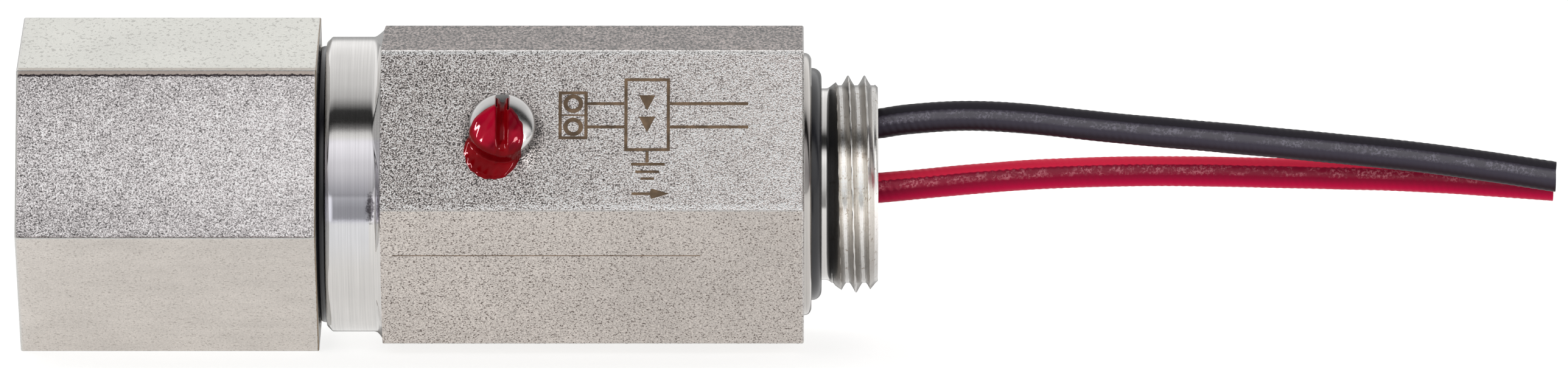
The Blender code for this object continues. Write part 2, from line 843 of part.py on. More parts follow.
def terminal_screw(label, axis, material):
    head_foot = Z_CLAMP_CHAMBER_TOP + 0.45
    tip = BOARD_THICKNESS / 2 + CONTACT_LIFT + CONTACT_THICKNESS + 0.08
    screw = turned(
        f"terminal_screw_{label}",
        [
            (tip, 0.0),
            (tip, TERMINAL_SHANK_RADIUS - 0.25),
            (tip + 0.25, TERMINAL_SHANK_RADIUS),
            (head_foot, TERMINAL_SHANK_RADIUS),
            (head_foot, TERMINAL_HEAD_RADIUS),
            (head_foot + 1.3, TERMINAL_HEAD_RADIUS),
            (head_foot + 1.4, TERMINAL_HEAD_RADIUS - 0.1),
            (head_foot + 1.4, 0.0),
        ],
        segments=20,
        along_x=False,
        parent=axis,
    )
    slot = box(
        f"terminal_slot_{label}",
        (-0.3, -3.0, head_foot + 0.6),
        (0.3, 3.0, head_foot + 3.0),
        axis,
    )
    apply_boolean(screw, slot, "DIFFERENCE")
    return finish(screw, material, axis)


def terminal_block(materials, parent):
    terminal_block_body(materials["green_nylon"], parent)
    for side, label in ((-1, "front"), (1, "rear")):
        middle = side * POLE_PITCH / 2
        axis = new_empty(f"terminal_axis_{label}", parent, (X_TERMINAL_SCREW, middle, 0.0))
        terminal_contact(label, middle, materials["tinned_copper"], parent)
        clamp_cage(label, axis, materials["plated_steel"])
        terminal_screw(label, axis, materials["plated_steel"])


# ---------------------------------------------------------------- leads


def smooth_path(knots, spacing):
    """Points along a smooth curve through the knots, about this far apart."""
    padded = [2 * knots[0] - knots[1]] + knots + [2 * knots[-1] - knots[-2]]
    path = []
    for before, start, end, after in zip(padded, padded[1:], padded[2:], padded[3:]):
        pieces = max(1, round((end - start).length / spacing))
        for piece in range(pieces):
            t = piece / pieces
            path.append(
                0.5
                * (
                    2 * start
                    + (end - before) * t
                    + (2 * before - 5 * start + 4 * end - after) * t**2
                    + (3 * start - before - 3 * end + after) * t**3
                )
            )
    return path + [knots[-1]]


def lead_path(exit_point, knots):
    """The centre line of a lead: straight through the stub, then through its (x, y, z) knots."""
    across, up = exit_point
    straight = [Vector((X_LEAD_START, across, up)), Vector((X_STUB_END - 1.0, across, up))]
    free = [Vector((X_STUB_END, across, up))] + [Vector(knot) for knot in knots]
    return straight + smooth_path(free, 5.0)


def tube_curve(name, path, radius, fill_caps):
    curve = bpy.data.curves.new(name, "CURVE")
    curve.dimensions = "3D"
    curve.bevel_depth = radius * MM
    curve.bevel_resolution = 2
    curve.use_fill_caps = fill_caps
    spline = curve.splines.new("POLY")
    spline.points.add(len(path) - 1)
    for point, place in zip(spline.points, path):
        point.co = (*(place * MM), 1.0)
    return curve


def lead(label, path, insulation, copper, parent):
    jacket_curve = tube_curve(f"lead_insulation_{label}", path, LEAD_RADIUS, False)
    jacket = add_object(f"lead_insulation_{label}", jacket_curve, PARTS)
    wall = jacket.modifiers.new("wall", "SOLIDIFY")
    wall.thickness = (LEAD_RADIUS - INSULATION_BORE_RADIUS) * MM
    wall.offset = -1.0
    finish(jacket, insulation, parent)
    core = tube_curve(f"lead_conductor_{label}", path, CONDUCTOR_RADIUS, True)
    core.bevel_resolution = 1
    finish(curve_as_mesh(f"lead_conductor_{label}", core), copper, parent)


def potting_plug(material, parent):
    plug = cylinder("potting_plug", (X_PLUG_LEFT, 0, 0), (X_PLUG_RIGHT, 0, 0), STUB_BORE_RADIUS - CLEARANCE)
    for label, (across, up) in (("black", BLACK_EXIT), ("red", RED_EXIT)):
        hole = cylinder(
            f"plug_hole_{label}",
            (X_PLUG_LEFT - 1, across, up),
            (X_PLUG_RIGHT + 1, across, up),
            LEAD_RADIUS + 0.08,
            segments=24,
        )
        apply_boolean(plug, hole, "DIFFERENCE")
    return finish(plug, material, parent)


def leads(materials, parent):
    potting_plug(materials["potting_resin"], parent)
    black_knots = [
        (9.0, 1.1, 5.83),
        (14.0, 0.5, 6.23),
        (19.5, -0.3, 6.1),
        (28.0, -1.6, 5.4),
        (41.0, -3.2, 4.45),
        (54.0, -3.6, 3.2),
        (61.5, -3.6, 2.21),
        (X_LEAD_END, -3.6, 1.24),
    ]
    red_knots = [
        (9.0, 0.3, -0.15),
        (15.0, 0.5, 0.39),
        (22.0, 0.8, 0.83),
        (32.0, 1.0, 1.03),
        (45.0, 1.0, 0.8),
        (56.0, 0.9, 0.48),
        (X_LEAD_END, 0.8, -0.3),
    ]
    black_path = lead_path(BLACK_EXIT, black_knots)
    red_path = lead_path(RED_EXIT, red_knots)
    lead("black", black_path, materials["black_insulation"], materials["copper"], parent)
    lead("red", red_path, materials["red_insulation"], materials["copper"], parent)


# ---------------------------------------------------------------- assembly


def palette():
    return {
        "body_steel": new_material("body_steel", (0.50, 0.48, 0.46), 0.42, 1.0),
        "sleeve_steel": new_material("sleeve_steel", (0.58, 0.58, 0.56), 0.40, 1.0),
        "screw_steel": new_material("screw_steel", (0.66, 0.66, 0.66), 0.16, 1.0),
        "ring_rubber": new_material("ring_rubber", (0.02, 0.02, 0.02), 0.45),
        "red_lacquer": new_material("red_lacquer", (0.45, 0.0, 0.02), 0.12),
        "tube_film": new_material("tube_film", (0.75, 0.55, 0.25), 0.4),
        "board_laminate": new_material("board_laminate", (0.03, 0.16, 0.06), 0.45),
        "green_nylon": new_material("green_nylon", (0.10, 0.30, 0.12), 0.5),
        "tinned_copper": new_material("tinned_copper", (0.72, 0.72, 0.70), 0.3, 1.0),
        "plated_steel": new_material("plated_steel", (0.62, 0.62, 0.60), 0.3, 1.0),
        "brass": new_material("brass", (0.75, 0.55, 0.22), 0.3, 1.0),
        "electrode_metal": new_material("electrode_metal", (0.68, 0.66, 0.62), 0.3, 1.0),
        "ceramic_white": new_material("ceramic_white", (0.82, 0.80, 0.76), 0.4),
        "resistor_lacquer": new_material("resistor_lacquer", (0.16, 0.30, 0.42), 0.35),
        "diode_epoxy": new_material("diode_epoxy", (0.03, 0.03, 0.03), 0.4),
        "potting_resin": new_material("potting_resin", (0.03, 0.03, 0.03), 0.35),
        "black_insulation": new_material("black_insulation", (0.035, 0.04, 0.05), 0.38),
        "red_insulation": new_material("red_insulation", (0.50, 0.01, 0.03), 0.32),
        "copper": new_material("copper", (0.80, 0.42, 0.26), 0.3, 1.0),
    }


def build():
    materials = palette()
    axis = new_empty("thread_axis", location=(X_SHIFT, 0, 0))
    body_housing(materials["body_steel"], axis)
    sleeve_axis = new_empty("sleeve_axis", axis)
    terminal_sleeve(materials["sleeve_steel"], sleeve_axis)
    sealing_ring("sleeve_o_ring", X_SLEEVE_RING, SLEEVE_RING_RADIUS, materials["ring_rubber"], axis)
    sealing_ring("stub_o_ring", X_STUB_RING, STUB_RING_RADIUS, materials["ring_rubber"], axis)
    screw_axis = screw_frame(axis)
    earth_screw(materials["screw_steel"], screw_axis)
    seal_lacquer(materials["red_lacquer"], screw_axis)
    insulating_tube(materials["tube_film"], axis)
    circuit_board(materials["board_laminate"], axis)
    earth_bracket(materials["brass"], axis)
    surge_components(materials, axis)
    terminal_block(materials, axis)
    leads(materials, axis)
    for cutter in CUTTERS.objects:
        if cutter.parent is None:
            cutter.parent = axis


clear_scene()
PARTS = new_collection("surge_arrester")
CUTTERS = new_collection("cutters")
build()
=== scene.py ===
"""Screw-in surge arrester: the visual model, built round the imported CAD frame.

Lengths are in millimetres and x is measured from the body's seating shoulder, as in the
CAD source. The helpers move every point into the row frame, in metres. A hexagon face is
named by its direction round the axis, in degrees from the front upwards. On a face, w is
the height up from its centre line.
"""

import math
from functools import partialmethod

import bmesh
import bpy
import numpy as np
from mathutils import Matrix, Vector


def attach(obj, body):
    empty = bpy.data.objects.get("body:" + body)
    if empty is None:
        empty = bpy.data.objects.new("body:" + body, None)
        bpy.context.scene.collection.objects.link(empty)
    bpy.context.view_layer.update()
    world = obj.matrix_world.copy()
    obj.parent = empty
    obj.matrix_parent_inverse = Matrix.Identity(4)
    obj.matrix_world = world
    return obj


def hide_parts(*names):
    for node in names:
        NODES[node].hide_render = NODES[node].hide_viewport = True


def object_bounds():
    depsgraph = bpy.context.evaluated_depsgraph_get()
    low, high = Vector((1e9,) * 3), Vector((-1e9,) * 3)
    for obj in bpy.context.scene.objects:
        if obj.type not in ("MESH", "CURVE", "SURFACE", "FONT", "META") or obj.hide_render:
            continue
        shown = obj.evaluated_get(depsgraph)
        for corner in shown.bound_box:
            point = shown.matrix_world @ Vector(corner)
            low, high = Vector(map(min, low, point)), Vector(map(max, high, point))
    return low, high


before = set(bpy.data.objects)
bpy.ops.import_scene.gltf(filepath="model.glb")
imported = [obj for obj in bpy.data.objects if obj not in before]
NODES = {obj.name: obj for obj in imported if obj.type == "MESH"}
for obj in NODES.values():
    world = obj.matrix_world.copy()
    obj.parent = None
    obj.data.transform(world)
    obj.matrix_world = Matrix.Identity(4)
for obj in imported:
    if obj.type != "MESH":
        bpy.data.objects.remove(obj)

CAD_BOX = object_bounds()
MM = 0.001
FULL_TURN = 2 * math.pi

# Places along the axis
X_SLEEVE_LEFT = -72.1
X_SLEEVE_RIGHT = -44.87
X_NECK_LEFT = -53.5
X_COLLAR_LEFT = -44.2
X_FILLET_LEFT = -39.96
X_HEX_LEFT = -39.06
X_HEX_RIGHT = -0.7
X_STUB_END = 6.06
X_LEAD_END = 67.8
X_SHIFT = -(X_SLEEVE_LEFT + X_LEAD_END) / 2

# Hexagons
HALF_SECTOR = math.radians(30)
FLAT_DISTANCE = 13.5
BEYOND_CORNERS = 16.2
CORNER_ROUNDING = 0.2
FLAT_COLUMNS, CORNER_COLUMNS = 44, 8
SLEEVE_DEG = 9.5
SCREW_FACE, TOP_FACE, LOWER_FACE = 30.0, 90.0, -30.0

# Turned parts and threads
COLLAR_RADIUS = 13.47
FILLET_TOP = 15.0
PITCH = 1.5
STUB_CREST, STUB_ROOT = 9.92, 9.03
STUB_BORE = 7.3
NECK_CREST, NECK_ROOT = 11.9, 11.05
SLEEVE_MAJOR, SLEEVE_MINOR = 12.04, 11.2
THREAD_CLEARANCE = 0.1
ENTRY_MINOR, ENTRY_MAJOR = 9.19, 9.98
ENTRY_LEAD_IN = 1.7
THREAD_STEP = 0.06
RING_SECTION = 0.88

# Earth screw, and the marks on its face
X_EARTH_SCREW = -28.0
HEAD_RADIUS, HEAD_TOP, HEAD_EDGE = 3.0, 2.45, 1.55
SHANK_RADIUS, HOLE_RADIUS = 1.7, 1.85
SLOT_WIDTH, SLOT_DEPTH = 1.2, 1.1
MARK_DEPTH = 0.025
HALF_LINE = 0.15

# Leads
SHEATH_RADIUS, SHEATH_BORE, SHEATH_COLUMNS = 1.385, 0.78, 56
STRAND_RADIUS, STRAND_COLUMNS = 0.236, 12
STRAND_CIRCLE, STRAND_LAY = 0.486, 14.0
LEAD_STEP = 0.11


# ---- meshes


def new_object(name, data):
    obj = bpy.data.objects.new(name, data)
    bpy.context.scene.collection.objects.link(obj)
    return obj


def mesh_piece(name, verts, faces, material, sharp_deg=32):
    """A mesh object from points in row-frame millimetres."""
    mesh = bpy.data.meshes.new(name)
    verts = np.asarray(verts, float) * MM
    faces = np.asarray(faces, int)
    mesh.vertices.add(len(verts))
    mesh.vertices.foreach_set("co", verts.ravel())
    mesh.loops.add(faces.size)
    mesh.loops.foreach_set("vertex_index", faces.ravel())
    mesh.polygons.add(len(faces))
    mesh.polygons.foreach_set("loop_start", np.arange(len(faces)) * faces.shape[1])
    mesh.update(calc_edges=True)
    draft = bmesh.new()
    draft.from_mesh(mesh)
    bmesh.ops.remove_doubles(draft, verts=draft.verts, dist=2e-7)
    bmesh.ops.dissolve_degenerate(draft, edges=draft.edges, dist=1e-7)
    bmesh.ops.recalc_face_normals(draft, faces=draft.faces)
    draft.to_mesh(mesh)
    draft.free()
    mesh.materials.append(material)
    obj = new_object(name, mesh)
    smooth(obj, sharp_deg)
    return obj


def smooth(obj, sharp_deg=32):
    obj.data.shade_smooth()
    obj.data.set_sharp_from_angle(angle=math.radians(sharp_deg))


def stand_in(piece, body, node):
    """Puts a piece on its body in the CAD node's place, and hides the node."""
    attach(piece, body)
    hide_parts(node)
    return piece


def grid_faces(rows, columns, wrap_rows=True, offset=0):
    """Quads over a grid of points stored row by row, closed across the columns."""
    r = np.arange(rows if wrap_rows else rows - 1)
    r, c = (a.ravel() for a in np.meshgrid(r, np.arange(columns), indexing="ij"))
    r2, c2 = (r + 1) % rows, (c + 1) % columns
    corners = [r * columns + c, r2 * columns + c, r2 * columns + c2, r * columns + c2]
    return np.stack(corners, 1) + offset


def ring_piece(name, x, radius, angles, material, sharp_deg=32):
    """A closed piece round the axis, from x and radius over (station, angle)."""
    x = np.broadcast_to(x, radius.shape) + X_SHIFT
    verts = np.stack([x, radius * np.cos(angles), radius * np.sin(angles)], -1).reshape(-1, 3)
    return mesh_piece(name, verts, grid_faces(*radius.shape), material, sharp_deg)


def stations(points):
    """Outline points as (x, radius, flat distance), where the last one may be left out."""
    return [(*point, FLAT_DISTANCE)[:3] for point in points]


def path(points, step):
    """Stations along the straight stretches between an outline's corner points."""
    points = stations(points)
    along = [points[0]]
    for start, end in zip(points, points[1:]):
        count = max(2, round(math.dist(start[:2], end[:2]) / step) + 1)
        for t in np.linspace(0, 1, count)[1:]:
            along.append(tuple(a + (b - a) * t for a, b in zip(start, end)))
    return along


# ---- hexagons and threads


def hexagon_angles(turn):
    """Angles round the axis, closer together at the six rounded corners."""
    rounding = 1 - CORNER_ROUNDING / FLAT_DISTANCE
    reach = HALF_SECTOR - math.atan(math.tan(HALF_SECTOR) * rounding)
    angles = []
    for corner in range(6):
        middle = turn + 2 * HALF_SECTOR * corner
        angles += list(middle + np.linspace(-reach, reach, CORNER_COLUMNS))
        next_corner = middle + 2 * HALF_SECTOR
        angles += list(np.linspace(middle + reach, next_corner - reach, FLAT_COLUMNS + 2)[1:-1])
    return np.array(angles)


def hexagon_radius(angles, turn, flat_distance):
    """Radius of the hexagon with rounded corners, at each angle."""
    from_corner = (angles - turn + HALF_SECTOR) % (2 * HALF_SECTOR) - HALF_SECTOR
    flat = flat_distance / np.cos(HALF_SECTOR - np.abs(from_corner))
    centre = (flat_distance - CORNER_ROUNDING) / math.cos(HALF_SECTOR)
    inside = np.maximum(CORNER_ROUNDING**2 - (centre * np.sin(from_corner)) ** 2, 0.0)
    rounded = centre * np.cos(from_corner) + np.sqrt(inside)
    return np.minimum(flat, np.where(inside > 0, rounded, flat))


def thread_shape(turns):
    """0 at the wide root and 1 at the narrow crest, with hollow flanks."""
    ramp = 1 - 2 * np.abs(turns - np.round(turns))
    return np.clip((ramp - 0.2) / 0.72, 0, 1) ** 1.2


def threaded(kind, x, angles, plain):
    """The radius at one station, with the thread of its kind cut into the plain radius."""
    ridge = thread_shape(x / PITCH - angles / FULL_TURN)
    neck = NECK_ROOT + ridge * (NECK_CREST - NECK_ROOT)
    if kind == "neck":
        return np.minimum(plain, neck)
    if kind == "stub":
        return np.minimum(plain, STUB_ROOT + ridge * (STUB_CREST - STUB_ROOT))
    if kind == "over_neck":
        return np.clip(neck + THREAD_CLEARANCE, SLEEVE_MINOR, SLEEVE_MAJOR)
    if kind == "entry":
        lead_in = max(0.0, 1 - (x - X_SLEEVE_LEFT) / ENTRY_LEAD_IN)
        return ENTRY_MINOR + np.maximum(ridge, lead_in) * (ENTRY_MAJOR - ENTRY_MINOR)
    return plain


def hexagon_piece(name, outline, turn, material):
    """A hexagonal and turned piece from its outline, a list of (kind, stations)."""
    angles = hexagon_angles(turn)
    rows_x, rows_radius = [], []
    for kind, along in outline:
        for x, radius, flat in along:
            plain = np.minimum(radius, hexagon_radius(angles, turn, flat))
            rows_x.append(x)
            rows_radius.append(threaded(kind, x, angles, plain))
    return ring_piece(name, np.array(rows_x)[:, None], np.array(rows_radius), angles, material)


# ---- body


def body_outline():
    """From the neck along the outside to the stub, and back through the bore."""
    f = FLAT_DISTANCE
    neck = [
        (X_NECK_LEFT, 10.95), (X_NECK_LEFT + 0.95, NECK_CREST), (-47.2, NECK_CREST),
        (-45.98, 10.42),
    ]
    collar = [
        (-45.95, 10.72), (-43.5, 10.72), (-43.35, 10.87), (-43.3, 11.0), (-43.3, 12.68),
        (-43.36, 12.75), (-44.14, 12.75), (X_COLLAR_LEFT, 12.8), (X_COLLAR_LEFT, 12.97),
        (-44.17, 13.02), (-43.76, 13.43), (-43.68, COLLAR_RADIUS), (-42.0, COLLAR_RADIUS),
        (X_FILLET_LEFT, COLLAR_RADIUS),
    ]
    fillet = []
    for t in np.linspace(0, math.pi / 2, 30)[1:]:
        x = X_FILLET_LEFT + (X_HEX_LEFT - X_FILLET_LEFT) * math.sin(t)
        fillet.append((x, COLLAR_RADIUS + (FILLET_TOP - COLLAR_RADIUS) * (1 - math.cos(t))))
    hexagon = [(X_HEX_LEFT, 15.2), (X_HEX_LEFT, 15.4), (X_HEX_LEFT + 0.05, 15.55)]
    hexagon += [(X_HEX_LEFT + 0.14, BEYOND_CORNERS)]
    hexagon += [(x, BEYOND_CORNERS) for x in np.linspace(-38.0, -1.6, 14)]
    for inset, bevel in ((0.16, 0.0), (0.06, 0.03), (0.015, 0.09), (0.0, 0.17)):
        hexagon.append((X_HEX_RIGHT - inset, BEYOND_CORNERS, f - bevel))
    flange = [
        (X_HEX_RIGHT, 12.08), (-0.66, 12.0), (-0.45, 11.97), (-0.26, 11.88), (-0.12, 11.72),
        (-0.03, 11.52), (0.0, 11.35), (0.0, 10.8), (-0.05, 10.75), (-0.9, 10.75), (-0.95, 10.7),
        (-0.95, 8.85), (-0.85, 8.76), (-0.7, 8.75), (1.25, 8.75), (1.45, 8.77), (1.63, 8.86),
    ]
    stub = [
        (1.66, 8.88), (2.4, 9.45), (3.1, STUB_CREST), (5.15, STUB_CREST), (5.86, 9.05),
        (6.0, 8.93),
    ]
    bore = [
        (X_STUB_END, 8.86), (X_STUB_END, 7.5), (X_STUB_END - 0.2, STUB_BORE),
        (-8.0, STUB_BORE), (-8.0, 9.5), (X_NECK_LEFT + 0.3, 9.5), (X_NECK_LEFT, 9.8),
        (X_NECK_LEFT, 10.9),
    ]
    return [
        ("neck", path(neck, THREAD_STEP)), ("plain", path(collar, 0.5)),
        ("plain", stations(fillet + hexagon)), ("plain", path(flange, 0.4)),
        ("stub", path(stub, 0.05)), ("plain", path(bore, 4.0)),
    ]


def face_directions(degrees):
    """The outward direction of a hexagon face and the direction up along it."""
    angle = math.radians(degrees)
    outward = np.array([0.0, -math.cos(angle), math.sin(angle)])
    along = np.array([0.0, math.sin(angle), math.cos(angle)])
    return outward, along


def face_point(x, w, height, degrees=SCREW_FACE):
    outward, along = face_directions(degrees)
    return np.array([x + X_SHIFT, 0.0, 0.0]) + outward * (FLAT_DISTANCE + height) + along * w


def prism(outline, degrees, low, high, inner=None):
    """A cutter over an (x, w) outline on a face, with an optional hole of as many corners."""
    loops = [outline, inner] if inner else [outline]
    count = len(outline)
    verts, faces = [], []
    for height in (low, high):
        for loop in loops:
            verts += [face_point(x, w, height, degrees) for x, w in loop]
    top = count * len(loops)
    for i in range(count):
        j = (i + 1) % count
        faces.append((i, j, top + j, top + i))
        if inner:
            a, b = count + i, count + j
            faces += [(a, top + a, top + b, b), (i, a, b, j), (top + i, top + j, top + b, top + a)]
    if not inner:
        faces += [tuple(range(count)), tuple(range(top, top + count))]
    return verts, faces


def rectangle(left, right, low, high):
    return [(left, low), (right, low), (right, high), (left, high)]


def circle(x, w, radius, sides=28):
    steps = [FULL_TURN * i / sides for i in range(sides)]
    return [(x + radius * math.cos(a), w + radius * math.sin(a)) for a in steps]


def engraving():
    """The laser-marked circuit: terminals, protector, earth symbol and arrow, and a rule."""
    marks = []

    def mark(outline, inner=None, degrees=SCREW_FACE):
        marks.append(prism(outline, degrees, -MARK_DEPTH, 0.4, inner))

    def bar(*limits, degrees=SCREW_FACE):
        mark(rectangle(*limits), degrees=degrees)

    def box_frame(left, right, low, high):
        half = HALF_LINE
        outer = rectangle(left - half, right + half, low - half, high + half)
        mark(outer, rectangle(left + half, right - half, low + half, high - half))

    box_frame(-22.78, -20.44, -0.7, 3.67)
    bar(-22.63, -20.59, 1.42, 1.58)
    for w in (2.62, 0.36):
        mark(circle(-21.6, w, 0.9), circle(-21.6, w, 0.5))
        bar(-20.29, -16.95, w - HALF_LINE, w + HALF_LINE)
        bar(-12.85, -5.73, w - HALF_LINE, w + HALF_LINE)
    box_frame(-16.82, -12.98, -1.85, 4.95)
    for top, low in ((3.45, 1.96), (1.37, -0.18)):
        mark([(-15.65, top), (-14.9, low), (-14.15, top)])
    bar(-15.05, -14.75, -3.1, -1.98)
    bar(-16.35, -13.29, -3.4, -3.12)
    bar(-15.96, -13.79, -4.12, -3.86)
    bar(-15.5, -14.24, -4.78, -4.54)
    mark([
        (-16.3, -6.26), (-14.65, -6.26), (-14.5, -6.62), (-12.85, -6.12), (-14.5, -5.62),
        (-14.65, -5.99), (-16.3, -5.99),
    ])
    bar(-38.0, -10.07, 2.51, 2.61, degrees=LOWER_FACE)
    return marks


def cut(obj, solids, material):
    """Subtracts solids of (verts, faces) for good. The new faces get the material."""
    draft = bmesh.new()
    for verts, faces in solids:
        made = [draft.verts.new(Vector(v) * MM) for v in verts]
        for face in faces:
            draft.faces.new([made[i] for i in face])
    bmesh.ops.recalc_face_normals(draft, faces=draft.faces)
    mesh = bpy.data.meshes.new("cutter")
    draft.to_mesh(mesh)
    draft.free()
    mesh.materials.append(material)
    cutter = new_object("cutter", mesh)
    modifier = obj.modifiers.new("cut", "BOOLEAN")
    modifier.operation = "DIFFERENCE"
    modifier.solver = "MANIFOLD"
    modifier.material_mode = "TRANSFER"
    modifier.object = cutter
    apply_modifiers(obj)
    bpy.data.objects.remove(cutter, do_unlink=True)


def apply_modifiers(obj):
    bpy.context.view_layer.update()
    evaluated = obj.evaluated_get(bpy.context.evaluated_depsgraph_get())
    mesh = bpy.data.meshes.new_from_object(evaluated)
    old = obj.data
    obj.modifiers.clear()
    obj.data = mesh
    mesh.name = old.name
    bpy.data.meshes.remove(old)


def make_body(material, mark_material):
    body = hexagon_piece("body", body_outline(), 0.0, material)
    cut(body, engraving(), mark_material)
    hole = prism(circle(X_EARTH_SCREW, 0.0, HOLE_RADIUS, 48), SCREW_FACE, -6.0, 1.0)
    cut(body, [hole], material)
    smooth(body)
    stand_in(body, "housing", "body_housing")


# ---- sleeve and rings


def sleeve_outline():
    """From the left end along the outside, and back through both threads."""
    left, right, f = X_SLEEVE_LEFT, X_SLEEVE_RIGHT, FLAT_DISTANCE
    outside = [(left, 10.8), (left, 12.6)]
    for inset, bevel in ((0.0, 0.16), (0.02, 0.08), (0.07, 0.03), (0.16, 0.0)):
        outside.append((left + inset, BEYOND_CORNERS, f - bevel))
    outside += [(x, BEYOND_CORNERS) for x in np.linspace(left + 1.0, right - 1.0, 14)]
    for inset, bevel in ((0.14, 0.0), (0.06, 0.03), (0.01, 0.08), (0.0, 0.14)):
        outside.append((right - inset, BEYOND_CORNERS, f - bevel))
    outside += [
        (right, 13.0), (right, 12.86), (right - 0.06, 12.8), (right - 0.55, 12.8),
        (right - 0.6, 12.75), (right - 0.6, 12.2), (right - 0.66, 12.06),
    ]
    over_neck = [(right - 0.7, SLEEVE_MAJOR), (-55.44, SLEEVE_MAJOR)]
    chamber = [
        (-55.5, 12.0), (-55.5, 11.06), (-55.56, 11.0), (-60.0, 11.0), (-64.3, 11.0),
        (-64.5, 10.8), (-64.5, 9.4),
    ]
    entry = [(-64.54, 9.21), (left + 0.75, 9.21)]
    mouth = [(left + 0.7, 10.02), (left + 0.4, 10.34), (left + 0.05, 10.7)]
    return [
        ("plain", stations(outside)), ("over_neck", path(over_neck, THREAD_STEP)),
        ("plain", stations(chamber)), ("entry", path(entry, THREAD_STEP)),
        ("plain", stations(mouth)),
    ]


def make_sleeve(material):
    sleeve = hexagon_piece("sleeve", sleeve_outline(), math.radians(SLEEVE_DEG), material)
    stand_in(sleeve, "sleeve", "terminal_sleeve")


def make_ring(name, node, body, x_middle, ring_radius, material):
    angles = np.linspace(0, FULL_TURN, 180, endpoint=False)
    around = np.linspace(0, FULL_TURN, 28, endpoint=False)[:, None]
    x = x_middle + RING_SECTION * np.cos(around)
    radius = np.repeat(ring_radius + RING_SECTION * np.sin(around), len(angles), 1)
    stand_in(ring_piece(name, x, radius, angles, material, 60), body, node)


# ---- earth screw and lacquer


def head_height(distance):
    """Height of the screw head's surface over the face, at a distance from its centre."""
    share = np.clip(distance / HEAD_RADIUS, 0, 1)
    return HEAD_EDGE + (HEAD_TOP - HEAD_EDGE) * np.clip(1 - share**3.2, 0, 1) ** 0.72


def make_screw(material):
    radii = np.concatenate([np.linspace(0.0, 2.6, 14), np.linspace(2.66, 2.96, 12), [2.985]])
    profile = [(float(head_height(r)), float(r)) for r in radii]
    profile += [(HEAD_EDGE - 0.04, HEAD_RADIUS), (HEAD_EDGE - 0.5, HEAD_RADIUS)]
    profile += [(0.2, HEAD_RADIUS), (0.06, 2.88), (0.06, SHANK_RADIUS)]
    profile += [(-5.6, SHANK_RADIUS), (-5.9, 1.55), (-6.1, 1.3), (-6.1, 0.0)]
    sides = 96
    verts = []
    for height, radius in profile:
        verts += [face_point(x, w, height) for x, w in circle(X_EARTH_SCREW, 0.0, radius, sides)]
    faces = grid_faces(len(profile), sides, wrap_rows=False)
    screw = mesh_piece("earth_screw_head", verts, faces, material)
    half = SLOT_WIDTH / 2
    slot = rectangle(X_EARTH_SCREW - half, X_EARTH_SCREW + half, -4.0, 4.0)
    cut(screw, [prism(slot, SCREW_FACE, HEAD_TOP - SLOT_DEPTH, 4.0)], material)
    bevel = screw.modifiers.new("edges", "BEVEL")
    bevel.width = 0.05 * MM
    bevel.segments = 2
    bevel.limit_method = "ANGLE"
    bevel.angle_limit = math.radians(50)
    apply_modifiers(screw)
    smooth(screw, 40)
    return stand_in(screw, "housing", "earth_screw")


def smoothstep(edge0, edge1, value):
    share = np.clip((value - edge0) / (edge1 - edge0), 0, 1)
    return share * share * (3 - 2 * share)


def blurred(values, passes):
    for _ in range(passes):
        for axis in (0, 1):
            values = (np.roll(values, 1, axis) + 2 * values + np.roll(values, -1, axis)) / 4
    return values


def outline_distance(u, w, corners):
    """Signed distance to a closed outline, positive inside."""
    best = np.full(u.shape, 1e9)
    inside = np.zeros(u.shape, bool)
    for (ax, ay), (bx, by) in zip(corners, corners[1:] + corners[:1]):
        dx, dy = bx - ax, by - ay
        t = np.clip(((u - ax) * dx + (w - ay) * dy) / (dx * dx + dy * dy), 0, 1)
        best = np.minimum(best, np.hypot(u - ax - t * dx, w - ay - t * dy))
        left_of_edge = u < dx * (w - ay) / (dy + 1e-12) + ax
        inside ^= ((ay > w) != (by > w)) & left_of_edge
    return np.where(inside, best, -best)


def rounded_outline(corners, rounds=3):
    """Cuts an outline's corners until it runs smoothly."""
    for _ in range(rounds):
        smoother = []
        for (ax, ay), (bx, by) in zip(corners, corners[1:] + corners[:1]):
            for share in (0.25, 0.75):
                smoother.append((ax * (1 - share) + bx * share, ay * (1 - share) + by * share))
        corners = smoother
    return corners


LACQUER_STEP = 0.035
LACQUER_EDGE = [
    (-0.55, 1.75), (-1.5, 1.25), (-2.65, 0.35), (-3.0, -0.4), (-3.45, -1.3), (-3.5, -2.5),
    (-2.9, -3.9), (-1.6, -4.75), (-0.3, -4.75), (0.75, -4.1), (1.35, -3.2), (1.8, -2.3),
    (2.05, -1.3), (1.85, -0.2), (1.15, 0.9), (0.55, 1.55),
]


